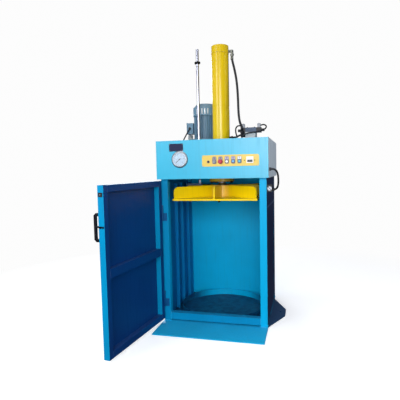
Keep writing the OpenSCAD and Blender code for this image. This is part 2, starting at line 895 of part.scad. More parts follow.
// piston on the upper end of the rod
module piston() {
    color(steel) difference() {
        bar_z(piston_z, piston_z + piston_h, bore_d - run_fit * 2, 0, 0);
        bar_z(piston_z - over, piston_z + piston_h + over, rod_d - sheet * 2 + run_fit * 2, 0, 0);
    }
}

// chromed rod: stepped into the piston, with a cone that stands on the hub
module piston_rod() {
    color(steel) {
        bar_z(platen_z + platen_t, piston_z, rod_d, 0, 0);
        bar_z(piston_z, piston_z + piston_h, rod_d - sheet * 2, 0, 0);
        translate([0, 0, hub_z]) cylinder(d1 = cone_d, d2 = rod_d, h = cone_h);
    }
}

// upright rib of the platen, from the hub out to the length l
module platen_rib(l) {
    rise = platen_h - platen_t;
    translate([0, web * half, platen_z + platen_t]) rotate([90, 0, 0]) linear_extrude(web) {
        translate([hub_d * half - web, 0]) square([l - hub_d * half + web, rise - web_r]);
        translate([hub_d * half - web, 0]) square([l - hub_d * half + web - web_r, rise]);
        translate([l - web_r, rise - web_r]) circle(r = web_r);
    }
}

// square plate with the hub, eight ribs and the vent spike, welded together
module platen() {
    edge = platen_w * half - web_in;
    color(yellow) {
        span([-platen_w * half, -platen_w * half, platen_z],
            [platen_w * half, platen_w * half, platen_z + platen_t]);
        difference() {
            union() {
                bar_z(platen_z + platen_t, hub_z, hub_d, 0, 0);
                for (a = [0 : 90 : 270]) rotate(a) platen_rib(edge);
                for (a = [45 : 90 : 315]) rotate(a) platen_rib(edge * sqrt(2));
            }
            bar_z(platen_z + platen_t, hub_z + over, rod_d + run_fit * 2, 0, 0);
        }
        translate([0, -spike_y, platen_z - spike_h])
            cylinder(d1 = spike_d * half * half, d2 = spike_d, h = spike_h);
    }
}

// rod that keeps the platen from turning
module guide_rod() {
    color(steel) bar_z(hub_z, guide_z, guide_d, -guide_x, 0);
}

// collar that trips the end switch
module guide_collar() {
    color(black) difference() {
        bar_z(collar_z, collar_z + collar_h, collar_d, -guide_x, 0);
        bar_z(collar_z - over, collar_z + collar_h + over, guide_d + run_fit * 2, -guide_x, 0);
    }
}

// bush of the guide rod in the press plate
module guide_bush() {
    color(steel) difference() {
        union() {
            bar_z(cab_h, head_z, bush_d, -guide_x, 0);
            bar_z(head_z, head_z + bush_flange_t, bush_flange_d, -guide_x, 0);
        }
        bar_z(cab_h - over, head_z + bush_flange_t + over, guide_d + run_fit * 2, -guide_x, 0);
    }
}

// flat bar that ties the guide rod to the rib of the platen
module guide_lug() {
    color(grey) difference() {
        span([-guide_x - lug_l + lug_w * half, -lug_w * half, hub_z],
            [-guide_x + lug_w * half, lug_w * half, hub_z + lug_t]);
        bar_z(hub_z - over, hub_z + lug_t + over, guide_d + run_fit * 2, -guide_x, 0);
    }
}

// housing between the top plate and the motor
module bell_housing() {
    color(grey) translate([-motor_x, motor_y, 0]) difference() {
        union() {
            span([-bell_w * half, -bell_w * half, head_top_z],
                [bell_w * half, bell_w * half, head_top_z + bell_t]);
            bar_z(head_top_z + bell_t, motor_z - bell_t, bell_d, 0, 0);
            bar_z(motor_z - bell_t, motor_z, bell_top_d, 0, 0);
        }
        bar_z(head_top_z - over, motor_z + over, bell_d - bell_wall * 2, 0, 0);
    }
}

// motor body with cooling fins
module motor_body() {
    color(grey) translate([-motor_x, motor_y, 0]) difference() {
        union() {
            bar_z(motor_z, motor_z + fin_end, bell_top_d - bell_wall * 4, 0, 0);
            bar_z(motor_z + fin_end, motor_end, motor_d, 0, 0);
            for (i = [0 : fin_n - 1]) rotate(360 * (i + half) / fin_n)
                span([motor_d * half - fin_t, -fin_t * half, motor_z + fin_end],
                    [motor_d * half + fin_h, fin_t * half, motor_end - cowl_lap]);
        }
        bar_z(motor_z - over, motor_end + over, shaft_d + run_fit * 2, 0, 0);
    }
}

// sheet cowl over the fan
module motor_cowl() {
    z0 = motor_end - cowl_lap;
    z1 = z0 + cowl_h;
    r0 = motor_d * half;
    r1 = cowl_d * half;
    color(grey) translate([-motor_x, motor_y, 0]) difference() {
        rotate_extrude() polygon([[r0 + run_fit, z0], [r1, z0], [r1, z1 - cowl_bevel],
            [r1 - cowl_bevel, z1], [0, z1], [0, z1 - cowl_t],
            [r1 - cowl_bevel - cowl_t * half, z1 - cowl_t],
            [r1 - cowl_t, z1 - cowl_bevel - cowl_t * half], [r1 - cowl_t, z0 + cowl_lap],
            [r0 + run_fit, z0 + cowl_lap]]);
        for (i = [0 : slot_n - 1]) rotate(360 * i / slot_n)
            span([r1 - cowl_bevel - cowl_t * 2 - slot_l, -slot_w * half, z1 - cowl_t - over],
                [r1 - cowl_bevel - cowl_t * 2, slot_w * half, z1 + over]);
    }
}

// motor shaft with the fan on top
module motor_rotor() {
    color(steel) translate([-motor_x, motor_y, 0]) {
        bar_z(lid_z - shaft_in, fan_z + blade_h, shaft_d, 0, 0);
        bar_z(fan_z, fan_z + fan_t, fan_d, 0, 0);
        for (i = [0 : blade_n - 1]) rotate(360 * i / blade_n)
            span([shaft_d * half - over, -fan_t * half, fan_z],
                [fan_d * half - fan_t, fan_t * half, fan_z + blade_h]);
    }
}

// terminal box on the left of the motor
module terminal_box() {
    x1 = term_in;
    z0 = term_z;
    color(grey) difference() {
        union() {
            span([x1 - term_x + lid_t, motor_y - term_y * half, z0],
                [x1, motor_y + term_y * half, z0 + term_h]);
            span([x1 - term_x, motor_y - term_y * half - lid_t * half, z0 - lid_t * half],
                [x1 - term_x + lid_t, motor_y + term_y * half + lid_t * half, z0 + term_h + lid_t * half]);
            span([x1 - over, motor_y - term_seat * half, z0 + lid_t],
                [-motor_x - motor_d * half + fin_h, motor_y + term_seat * half, z0 + term_h - lid_t]);
        }
        translate([-motor_x, motor_y, 0]) bar_z(z0 - over, z0 + term_h + over, motor_d + run_fit * 2, 0, 0);
        translate([-motor_x, motor_y, 0]) for (i = [0 : fin_n - 1]) rotate(360 * (i + half) / fin_n)
            span([motor_d * half - fin_t, -fin_t * half - free_fit, z0 - over],
                [motor_d * half + fin_h + free_fit * half, fin_t * half + free_fit, z0 + term_h + over]);
    }
}

// gear pump that hangs from the top plate into the tank
module pump() {
    color(steel) translate([-motor_x, motor_y, 0]) difference() {
        span([-pump_w * half, -pump_w * half, lid_z - pump_h], [pump_w * half, pump_w * half, lid_z]);
        bar_z(lid_z - shaft_in - over, lid_z + over, shaft_d + run_fit * 2, 0, 0);
    }
}

// ported block under the valve
module manifold() {
    color(grey) difference() {
        span([man_x, -man_front, head_top_z], [man_x + man_l, -man_front + man_w, man_top]);
        for (p = [port_a, port_b]) bar_x(man_x - over, man_x + port_in, port_d + run_fit * 2, p[1], p[2]);
    }
}

// directional valve on the manifold
module valve_body() {
    color(grey) span([valve_x, valve_y - valve_w * half, man_top],
        [valve_x + valve_l, valve_y + valve_w * half, man_top + valve_h]);
}

// coil with its end tube at each end of the valve
module solenoids() {
    color(black) for (s = [0, 1]) {
        x0 = s == 0 ? valve_x - coil_l : valve_x + valve_l;
        x1 = s == 0 ? x0 - core_l : x0 + coil_l - over;
        span([x0, valve_y - coil_w * half, coil_z - coil_w * half],
            [x0 + coil_l, valve_y + coil_w * half, coil_z + coil_w * half]);
        bar_x(x1, x1 + core_l + over, core_d, valve_y, coil_z);
    }
}

// plug on each coil
module coil_plugs() {
    color(black) for (x = [valve_x - coil_l * half, valve_x + valve_l + coil_l * half])
        span([x - plug_w * half, valve_y - plug_w * half, coil_z + coil_w * half],
            [x + plug_w * half, valve_y + plug_w * half, coil_z + coil_w * half + plug_h]);
}

// two elbows and two straight fittings
module hose_fittings() {
    color(steel) {
        elbow(barrel_d * half, cap_bend, 0, port_cap_z, -1);
        elbow(man_x, man_bend, port_a[1], port_a[2], 1);
        straight(barrel_d * half, foot_end, 0, port_foot_z, port_in * half);
        straight(man_x, b_end, port_b[1], port_b[2], port_in - over);
    }
}

// elbow from the port face at x0 to the bend at x1, then up or down
module elbow(x0, x1, y, z, s) {
    d = x1 > x0 ? 1 : -1;
    bar_x(min(x0 - d * (port_in - over), x1), max(x0 - d * (port_in - over), x1), port_d, y, z);
    bar_z(s > 0 ? z : z - bend_drop, s > 0 ? z + bend_drop : z, port_d, x1, y);
    translate([x1, y, z]) sphere(d = port_d);
    translate([x1, y, s > 0 ? z + bend_drop - hex_l : z - bend_drop])
        cylinder(d = hex_d, h = hex_l, $fn = hexagon);
}

// straight fitting from the port face at x0 to the hose at x1
module straight(x0, x1, y, z, sunk) {
    d = x1 > x0 ? 1 : -1;
    bar_x(min(x0 - d * sunk, x1), max(x0 - d * sunk, x1), port_d, y, z);
    translate([d > 0 ? x1 - hex_l : x1, y, z]) rotate([0, 90, 0])
        cylinder(d = hex_d, h = hex_l, $fn = hexagon);
}

// hose from the manifold to the top of the cylinder
module hose_main() {
    color(black) cord(main_pts, 2, 12, hose_d, [1, 0, 0], [0, 0, -1], [0, 0, -1]);
}

// hose from the foot of the cylinder to the manifold
module hose_foot() {
    color(black) cord(foot_pts, 2, 12, hose_b_d, [0, 1, 0], [1, 0, 0], [1, 0, 0]);
}

// cables of the two coils and of the motor
module power_cables() {
    color(black) {
        cord(valve_pts, 3, 10, cable_d, [1, -1, 1], [1, 0, 0], [0, 0, -1]);
        cord(left_pts, 3, 10, cable_d, [0, 1, 0], [-1, 0, 0], [0, 0, -1]);
        cord(motor_pts, 3, 10, cable_d, [1, 0, 0], [0, -1, 0], [0, 0, -1]);
    }
}

// cable from the side of the head to the interlock switch
module interlock_cable() {
    color(black) cord(lead_pts, 3, 12, lead_d, [0, 1, 0], [1, 0, 0], [-1, 0, 0]);
}

// cable glands on the head, the interlock switch, the terminal box and the top plate
module cable_glands() {
    color(black) {
        translate([lead_top[0] - gland_nut_l, lead_top[1], lead_top[2]]) rotate([0, 90, 0])
            cylinder(d = gland_nut_d, h = gland_nut_l, $fn = hexagon);
        translate([lead_x - gland_nut_l, lead_y, lead_z]) rotate([0, 90, 0])
            cylinder(d = gland_nut_d, h = gland_nut_l, $fn = hexagon);
        for (p = [cable_end, left_end, motor_low]) translate([p[0], p[1], head_top_z])
            cylinder(d = gland_nut_d, h = gland_nut_l, $fn = hexagon);
        translate([motor_top[0], motor_top[1] + gland_nut_l, motor_top[2]]) rotate([90, 0, 0])
            cylinder(d = gland_nut_d, h = gland_nut_l, $fn = hexagon);
    }
}

// two upright tubes and three cross tubes of the door, closed at the top
module door_frame() {
    y0 = door_in - door_t + skin_t;
    x0 = door_gap + stile + weld_gap;
    x1 = door_w - stile - weld_gap;
    color(blue) on_door() {
        for (x = [door_gap, door_w - stile]) difference() {
            span([x, y0, door_z], [x + stile, door_in, door_top]);
            span([x + tube_t, y0 + tube_t, door_z - over],
                [x + stile - tube_t, door_in - tube_t, door_top - tube_t]);
            bar_x(door_w - latch_in, door_w + over, latch_pin + run_fit * 2,
                door_in - door_t * half, latch_z);
        }
        for (r = [[door_z, stile], [rail_z, rail_h], [door_top - stile, stile]]) difference() {
            span([x0, y0, r[0]], [x1, door_in, r[0] + r[1]]);
            span([x0 - over, y0 + tube_t, r[0] + tube_t],
                [x1 + over, door_in - tube_t, r[0] + r[1] - tube_t]);
        }
    }
}

// outer sheet of the door
module door_skin() {
    color(blue) on_door() span([door_gap, door_in - door_t, door_z],
        [door_w, door_in - door_t + skin_t, door_top]);
}

// post half of the hinges: leaf, lower barrel and pin
module post_hinges() {
    color(blue) for (z = hinge_z) {
        span([axis_x, -cab_front - leaf_t, z - knuckle_l * half],
            [axis_x + leaf_w, -cab_front, z - hinge_gap]);
        difference() {
            bar_z(z - knuckle_l * half, z - hinge_gap, knuckle_d, axis_x, axis_y);
            span([axis_x - knuckle_d, -cab_front, z - knuckle_l],
                [axis_x + knuckle_d, -cab_front + knuckle_d, z]);
        }
        bar_z(z - knuckle_l * half, z + knuckle_l * half - pin_d, pin_d, axis_x, axis_y);
    }
}

// door half of the hinges: leaf and upper barrel
module door_hinges() {
    color(blue) on_door() for (z = hinge_z) difference() {
        union() {
            bar_z(z + hinge_gap, z + knuckle_l * half, knuckle_d, 0, 0);
            span([door_gap - leaf_t - (knuckle_d - pin_d) * half * half, door_in - door_t + skin_t,
                z + hinge_gap], [door_gap, 0, z + knuckle_l * half]);
        }
        bar_z(z - over, z + knuckle_l * half + over, pin_d + run_fit * 2, 0, 0);
    }
}

// bow handle on the skin
module door_handle() {
    x = door_w - grip_in;
    y = door_in - door_t;
    z1 = grip_z + grip_l;
    color(black) on_door() {
        for (z = [grip_z + grip_d * half, z1 - grip_d * half]) {
            bar_y(y - grip_out, y, grip_d, x, z);
            translate([x, y - grip_out, z]) sphere(d = grip_d);
        }
        translate([x, y - grip_out, grip_z + grip_d * half]) cylinder(d = grip_d, h = grip_l - grip_d);
    }
}

// catch plate with its ball on the free edge
module edge_catch() {
    y = door_in - door_t * half;
    z = door_top - catch_drop;
    color(black) on_door() {
        span([door_w, y - catch_w * half, z], [door_w + catch_t, y + catch_w * half, z + catch_h]);
        translate([door_w + catch_t, y, z + catch_h * half]) sphere(d = catch_ball * half);
    }
}

// turning bar on the free edge
module turn_latch() {
    y = door_in - door_t * half;
    color(black) on_door() {
        span([door_w + hinge_gap, y - latch_l * half, latch_z - latch_w * half],
            [door_w + hinge_gap + latch_t, y + latch_l * half, latch_z + latch_w * half]);
        bar_x(door_w - latch_in + over, door_w + hinge_gap + over, latch_pin, y, latch_z);
    }
}

// gauge case with its flange
module gauge_case() {
    color(steel) translate([-gauge_x, -head_front, gauge_z]) rotate([90, 0, 0]) difference() {
        rotate_extrude() polygon([[0, -gauge_in], [gauge_body * half, -gauge_in], [gauge_body * half, 0],
            [gauge_d * half, 0], [gauge_d * half, gauge_r], [gauge_d * half - gauge_r, gauge_r * 2],
            [gauge_win * half + gauge_r, gauge_out], [gauge_win * half, gauge_out],
            [gauge_win * half, gauge_out - gauge_deep], [0, gauge_out - gauge_deep]]);
        translate([0, 0, -gauge_in * half])
            cylinder(d = needle_pin + run_fit * 2, h = gauge_in + gauge_out);
    }
}

// pointer with its hub and shaft
module gauge_needle() {
    color(black) translate([-gauge_x, dial_y - needle_gap, gauge_z]) rotate([0, -needle_turn, 0]) {
        span([-needle_w * half, -needle_t, -needle_tail], [needle_w * half, 0, needle_l]);
        bar_y(-needle_t * 2, 0, needle_hub, 0, 0);
        bar_y(-needle_t, gauge_in * half, needle_pin, 0, 0);
    }
}

// plate of the controls with rounded corners
module control_plate() {
    r = plate_r;
    color(pale) difference() {
        translate([plate_x, -head_front, plate_z]) rotate([90, 0, 0]) linear_extrude(plate_t) {
            translate([r, 0]) square([plate_w - r * 2, plate_h]);
            translate([0, r]) square([plate_w, plate_h - r * 2]);
            for (x = [r, plate_w - r]) for (z = [r, plate_h - r]) translate([x, z]) circle(r = r);
        }
        panel_cuts(face_y - over, -head_front + over);
    }
}

// bezels of the six switches with the bodies behind the panel
module switch_bezels() {
    color(steel) {
        for (i = [0 : len(switch_x) - 1]) bezel(switch_x[i], bezel_d, body_d, cap_d, body_l);
        bezel(key_x, key_d, body_d - bezel_h, key_core, body_l);
    }
}

// bezel of diameter d, body of diameter b and bore of diameter c, l long behind the plate
module bezel(x, d, b, c, l) {
    difference() {
        union() {
            bar_y(bezel_y, face_y, d, x, switch_z);
            bar_y(face_y, face_y + l, b, x, switch_z);
        }
        bar_y(bezel_y - over, face_y + l - bezel_h * half, c + run_fit * 2, x, switch_z);
    }
}

// selector with its grip
module selector_knob() {
    color(grey) {
        bar_y(bezel_y - hinge_gap - knob_h, bezel_y - hinge_gap, knob_d, switch_x[0], switch_z);
        bar_y(bezel_y - hinge_gap - over, face_y + cap_in, cap_d, switch_x[0], switch_z);
        translate([switch_x[0], bezel_y - hinge_gap - knob_h, switch_z]) rotate([0, -knob_turn, 0])
            span([-knob_w * half, -knob_grip, -knob_d * half + over],
                [knob_w * half, over, knob_d * half - over]);
    }
}

// red mushroom button
module stop_button() {
    y = bezel_y - stop_gap;
    color(red) {
        bar_y(y - over, face_y + cap_in, cap_d, switch_x[1], switch_z);
        translate([switch_x[1], y, switch_z]) rotate([90, 0, 0]) cylinder(d = stop_d, h = stop_h * half);
        translate([switch_x[1], y - stop_h * half, switch_z]) rotate([90, 0, 0])
            cylinder(d1 = stop_d, d2 = stop_d - stop_h, h = stop_h * half);
    }
}

// push-button number i
module push_button(i) {
    bar_y(bezel_y - cap_out, face_y + cap_in, cap_d, switch_x[i], switch_z);
}

module button_white() {
    color(white) push_button(2);
}

module button_sky() {
    color(white) push_button(3);
}

module button_cyan() {
    color(blue) push_button(4);
}

// barrel of the key switch with its slot
module key_switch() {
    color(black) difference() {
        bar_y(bezel_y - over, face_y + cap_in, key_core, key_x, switch_z);
        span([key_x - key_slot * half, bezel_y - over * 2, switch_z - key_core * half * half],
            [key_x + key_slot * half, bezel_y - over + key_deep, switch_z + key_core * half * half]);
    }
}

// counter with a sunk window
module counter() {
    y = face_y - count_out;
    e = count_edge * half + free_fit;
    color(white) difference() {
        union() {
            span([count_x, y, count_z], [count_x + count_w, face_y, count_z + count_h]);
            span([count_x + e, face_y, count_z + e],
                [count_x + count_w - e, face_y + count_in, count_z + count_h - e]);
        }
        span([count_x + count_edge, y - over, count_z + count_edge],
            [count_x + count_w - count_edge, y + count_deep, count_z + count_h * half]);
    }
}

// interlock switch on the right post with its slotted roller
module interlock() {
    x0 = cab_w * half;
    y0 = -cab_front + lock_in;
    color(black) {
        span([x0, y0, lock_z], [x0 + lock_w, y0 + lock_l, lock_z + lock_h]);
        difference() {
            bar_y(y0 - roller_t, y0, roller_d, x0 + lock_w - roller_d * half, lock_z + lock_h * half);
            translate([x0 + lock_w - roller_d * half, y0 - roller_t, lock_z + lock_h * half])
                rotate([0, 45, 0])
                    span([-roller_d, -over, -roller_slot * half],
                        [roller_d, roller_deep, roller_slot * half]);
        }
    }
}

base_plate();
side_feet();
posts();
sill();
side_wall_l();
side_wall_r();
back_wall();
drip_ring();
press_plate();
head_front_panel();
head_shell();
top_plate();
oil_tank();
oil_filler();
barrel();
cylinder_cap();
rod_gland();
flange_bolts();
piston();
piston_rod();
platen();
guide_rod();
guide_collar();
guide_bush();
guide_lug();
bell_housing();
motor_body();
motor_cowl();
motor_rotor();
terminal_box();
pump();
manifold();
valve_body();
solenoids();
coil_plugs();
hose_fittings();
hose_main();
hose_foot();
power_cables();
interlock_cable();
cable_glands();
door_frame();
door_skin();
post_hinges();
door_hinges();
door_handle();
edge_catch();
turn_latch();
gauge_case();
gauge_needle();
control_plate();
switch_bezels();
selector_knob();
stop_button();
button_white();
button_sky();
button_cyan();
key_switch();
counter();
interlock();
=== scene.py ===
import math

import bpy
from mathutils import Matrix, Vector


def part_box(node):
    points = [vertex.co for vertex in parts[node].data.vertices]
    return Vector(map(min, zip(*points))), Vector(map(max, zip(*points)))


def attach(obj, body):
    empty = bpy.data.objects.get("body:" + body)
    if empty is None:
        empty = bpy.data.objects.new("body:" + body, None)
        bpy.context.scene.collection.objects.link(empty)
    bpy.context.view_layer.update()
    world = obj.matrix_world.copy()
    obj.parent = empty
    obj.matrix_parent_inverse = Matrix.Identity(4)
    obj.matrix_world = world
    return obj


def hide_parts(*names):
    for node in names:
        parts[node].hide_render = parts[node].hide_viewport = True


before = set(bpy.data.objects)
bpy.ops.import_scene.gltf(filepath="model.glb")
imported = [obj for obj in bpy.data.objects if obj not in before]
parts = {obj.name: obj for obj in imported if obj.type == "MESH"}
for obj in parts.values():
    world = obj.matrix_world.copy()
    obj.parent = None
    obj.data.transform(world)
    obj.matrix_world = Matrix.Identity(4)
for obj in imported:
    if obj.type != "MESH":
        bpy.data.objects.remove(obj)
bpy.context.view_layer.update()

# Camera and studio light. The camera stands a little right of the press at chest height.
# The key soft box stands in front on the left; others in front, low, at the sides, behind
# and above lift the shade.
lens = bpy.data.cameras.new("camera")
lens.sensor_width = 36.0
lens.lens = 36.136
lens.clip_end = 60
eye = bpy.data.objects.new("camera", lens)
bpy.context.scene.collection.objects.link(eye)
eye.matrix_world = Matrix(((0.96775, 0.00145, 0.25189, 0.71306),
                           (0.25098, 0.07955, -0.96472, -3.52841),
                           (-0.02144, 0.99683, 0.07663, 1.27167),
                           (0, 0, 0, 1)))
bpy.context.scene.camera = eye
bpy.context.scene.view_settings.view_transform = "Standard"


def linear(code):
    """sRGB hex, as on a paint card, to the linear colour that a socket takes."""
    part = [int(code[i:i + 2], 16) / 255 for i in (1, 3, 5)]
    return tuple(c / 12.92 if c <= 0.04045 else ((c + 0.055) / 1.055) ** 2.4 for c in part) + (1.0,)


def add_node(tree, kind, inputs=None, **settings):
    """Adds one node: settings by keyword, a value or a link for each named or numbered input."""
    node = tree.nodes.new(kind)
    for key, value in settings.items():
        setattr(node, key, value)
    for key, value in (inputs or {}).items():
        if isinstance(value, bpy.types.NodeSocket):
            tree.links.new(value, node.inputs[key])
        else:
            node.inputs[key].default_value = value
    return node


def soft_box(name, place, aim, width, height, power, mirrored=True):
    """A rectangular studio light from place to aim; one that isn't mirrored leaves gloss alone."""
    lamp = bpy.data.lights.new(name, "AREA")
    lamp.shape = "RECTANGLE"
    lamp.size = width
    lamp.size_y = height
    lamp.energy = power
    holder = bpy.data.objects.new(name, lamp)
    bpy.context.scene.collection.objects.link(holder)
    holder.location = place
    holder.visible_glossy = mirrored
    holder.rotation_euler = (Vector(aim) - Vector(place)).to_track_quat("-Z", "Y").to_euler()


soft_box("key_soft_box", (-2.8, -3.7, 2.7), (0.0, 0.0, 1.3), 2.0, 1.6, 65)
soft_box("front_soft_box", (0.42, -4.6, 2.2), (0.2, 0.0, 1.4), 1.7, 1.3, 98)
soft_box("low_fill", (-0.6, -4.7, 1.0), (0.0, 0.0, 0.9), 1.6, 0.9, 66, mirrored=False)
soft_box("low_right_fill", (1.4, -4.2, 1.05), (0.0, 0.0, 1.0), 1.0, 0.8, 30)
soft_box("right_fill", (4.6, -0.4, 2.4), (0.0, 0.0, 1.3), 1.6, 2.0, 62, mirrored=False)
soft_box("left_fill", (-4.6, -0.2, 2.4), (0.0, 0.0, 1.5), 1.3, 2.2, 70, mirrored=False)
soft_box("rear_soft_box", (-2.2, 4.6, 2.6), (0.0, 0.0, 1.2), 2.4, 2.0, 110)
soft_box("top_soft_box", (0.2, -0.4, 5.2), (0.0, 0.0, 1.0), 3.0, 3.0, 55)

surround = bpy.data.worlds.new("studio_surround")
surround.use_nodes = True
sky = surround.node_tree
sky.nodes.clear()
dim = add_node(sky, "ShaderNodeBackground", {"Color": linear("#c9d8f2"), "Strength": 0.22})
bright = add_node(sky, "ShaderNodeBackground", {"Color": linear("#ffffff"), "Strength": 0.98})
seen = add_node(sky, "ShaderNodeLightPath").outputs["Is Camera Ray"]
both = add_node(sky, "ShaderNodeMixShader", {0: seen, 1: dim.outputs[0], 2: bright.outputs[0]})
add_node(sky, "ShaderNodeOutputWorld", {"Surface": both.outputs[0]})
bpy.context.scene.world = surround

# Floor: matt white paper that runs into the white surround, and no part of the press.
# It is bright to the eye only, so it doesn't light the press from below.
paper_size, under_feet = 40, 0.0006
shade_ends, white_starts = 1.0, 3.2


def new_tree(name):
    """An empty material with that name, its node tree, and a piece's own coordinates in it."""
    mat = bpy.data.materials.new(name)
    mat.use_nodes = True
    mat.node_tree.nodes.clear()
    place = add_node(mat.node_tree, "ShaderNodeTexCoord").outputs["Object"]
    return mat, mat.node_tree, place


bpy.ops.object.select_all(action="DESELECT")
bpy.ops.mesh.primitive_plane_add(size=paper_size, location=(0, 0, -under_feet))
floor = bpy.context.object
floor.name = "studio_floor"
paper, tree, place = new_tree("matte_paper_floor")
seen = add_node(tree, "ShaderNodeLightPath").outputs["Is Camera Ray"]
away = add_node(tree, "ShaderNodeVectorMath", {0: place}, operation="LENGTH")
far = add_node(tree, "ShaderNodeMapRange", {
    "Value": away.outputs["Value"], "From Min": shade_ends, "From Max": white_starts})
tint = add_node(tree, "ShaderNodeMix", {
    "Factor": seen, "A": linear("#3a3d42"), "B": linear("#eef0f2")}, data_type="RGBA")
sheet = add_node(tree, "ShaderNodeBsdfPrincipled", {
    "Base Color": tint.outputs["Result"], "Roughness": 0.95, "Specular IOR Level": 0.0})
glow = add_node(tree, "ShaderNodeMapRange", {
    "Value": far.outputs["Result"], "To Min": 0.35, "To Max": 0.98})
shown = add_node(tree, "ShaderNodeMath", {0: glow.outputs["Result"], 1: seen}, operation="MULTIPLY")
lamp = add_node(tree, "ShaderNodeEmission", {
    "Color": linear("#ffffff"), "Strength": shown.outputs[0]})
near = add_node(tree, "ShaderNodeAddShader", {0: sheet.outputs[0], 1: lamp.outputs[0]})
ground = add_node(tree, "ShaderNodeMixShader", {
    0: far.outputs["Result"], 1: near.outputs[0], 2: lamp.outputs[0]})
add_node(tree, "ShaderNodeOutputMaterial", {"Surface": ground.outputs[0]})
floor.data.materials.append(paper)

# Hoses and cables: wire-braided rubber hoses crimped to steel fittings, and sheathed copper cable.
# The hoses hang from the cylinder to the ported block, and the cables of the coils, the motor and
# the door switch run into glands on the head.


def nitrile_rubber(name, code, gloss):
    """Extruded black rubber: faint cloth-wrap ripple, soft sheen, dust in the ripple."""
    mat, tree, place = new_tree(name)
    # cloth wrap of 4 mm, drawn coarser than it is so that it shows
    wrap = add_node(tree, "ShaderNodeTexNoise", {"Vector": place, "Scale": 180.0, "Detail": 3.0})
    dust = add_node(tree, "ShaderNodeTexNoise", {"Vector": place, "Scale": 14.0, "Detail": 4.0})
    shade = add_node(tree, "ShaderNodeMapRange", {
        "Value": dust.outputs["Fac"], "From Min": 0.45, "From Max": 0.8, "To Min": 0.0,
        "To Max": 0.35})
    tint = add_node(tree, "ShaderNodeMix", {
        "Factor": shade.outputs["Result"], "A": linear(code), "B": linear("#3c3d46")},
        data_type="RGBA")
    rough = add_node(tree, "ShaderNodeMapRange", {
        "Value": wrap.outputs["Fac"], "To Min": gloss, "To Max": gloss + 0.25})
    bump = add_node(tree, "ShaderNodeBump", {
        "Height": wrap.outputs["Fac"], "Strength": 0.25, "Distance": 0.0008})
    cover = add_node(tree, "ShaderNodeBsdfPrincipled", {
        "Base Color": tint.outputs["Result"], "Roughness": rough.outputs["Result"],
        "Normal": bump.outputs["Normal"], "IOR": 1.52})
    add_node(tree, "ShaderNodeOutputMaterial", {"Surface": cover.outputs[0]})
    return mat


def hose_route(points, steps):
    """Smooth run through given points in millimetres, as metres."""
    route = []
    last = len(points) - 1
    for i in range(last):
        a, b, c, d = (Vector(points[min(max(k, 0), last)]) / 1000 for k in range(i - 1, i + 3))
        for k in range(steps):
            t = k / steps
            route.append(b + (c - a) * t / 2 + (a * 2 - b * 5 + c * 4 - d) * t * t / 2
                         + (b * 3 - a - c * 3 + d) * t ** 3 / 2)
    route.append(Vector(points[last]) / 1000)
    return route


def lay_cord(name, points, steps, diameter, finish, solid):
    """A cord as one open curve along its route, in place of its plain solid."""
    route = hose_route(points, steps)
    line = bpy.data.curves.new(name, "CURVE")
    line.dimensions = "3D"
    line.bevel_depth = diameter / 2
    line.bevel_resolution = 5
    line.use_fill_caps = True
    run = line.splines.new("POLY")
    run.points.add(len(route) - 1)
    for knot, p in zip(run.points, route):
        knot.co = (*p, 1)
    run.use_smooth = True
    cord = bpy.data.objects.new(name, line)
    bpy.context.scene.collection.objects.link(cord)
    line.materials.append(finish)
    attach(cord, "frame")
    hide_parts(solid)
    return route


hose_rubber = nitrile_rubber("hose_rubber", "#111218", 0.5)
cable_sheath = nitrile_rubber("pvc_cable_sheath", "#0e0f15", 0.5)
long_run = lay_cord("long_hose", [
    (107, 0, 2247.25), (108, -2, 2210), (128, -12, 2125), (143, -19, 2047), (153, -27, 1962),
    (159, -36, 1867), (164, -46, 1750), (174, -55, 1676), (190, -61, 1628), (193, -61, 1586.5)],
    4, 0.020, hose_rubber, "hose_main")
short_run = lay_cord("short_hose", [
    (103, 0, 1541), (126, -4, 1543.5), (150, -13.4, 1551.2), (174, -23, 1559),
    (197, -26.75, 1561.5)],
    5, 0.016, hose_rubber, "hose_foot")
lay_cord("right_coil_cable", [
    (345, 20, 1640), (368, 17, 1645), (390, 4, 1636), (396, -22, 1616), (375, -60, 1592),
    (325, -98, 1575), (262, -112, 1568), (214, -110, 1552), (193, -101, 1519)],
    4, 0.012, cable_sheath, "power_cables")
lay_cord("left_coil_cable", [
    (180, 20, 1640), (160, 18, 1645), (141, 6, 1638), (133, -20, 1615), (139, -52, 1579),
    (151, -78, 1547), (156.5, -89.5, 1519)],
    5, 0.012, cable_sheath, "power_cables")
lay_cord("motor_cable", [
    (-329, 129, 1654), (-329, 108, 1635), (-343, 97, 1608), (-362, 95, 1575), (-379, 98, 1545),
    (-383.5, 99, 1519)],
    5, 0.012, cable_sheath, "power_cables")
lay_cord("switch_cable", [
    (466, -398, 1261), (484, -397.5, 1260), (503, -391, 1248), (514, -377, 1220),
    (517, -363, 1180), (515, -353, 1141), (506, -347, 1114), (486, -344, 1100)],
    5, 0.015, cable_sheath, "interlock_cable")


def toned(colour, times, lift=0.0):
    """A linear colour made darker or lighter, for one end of a patchy finish."""
    return tuple(min(c * times + lift, 1) for c in colour[:3]) + (1,)


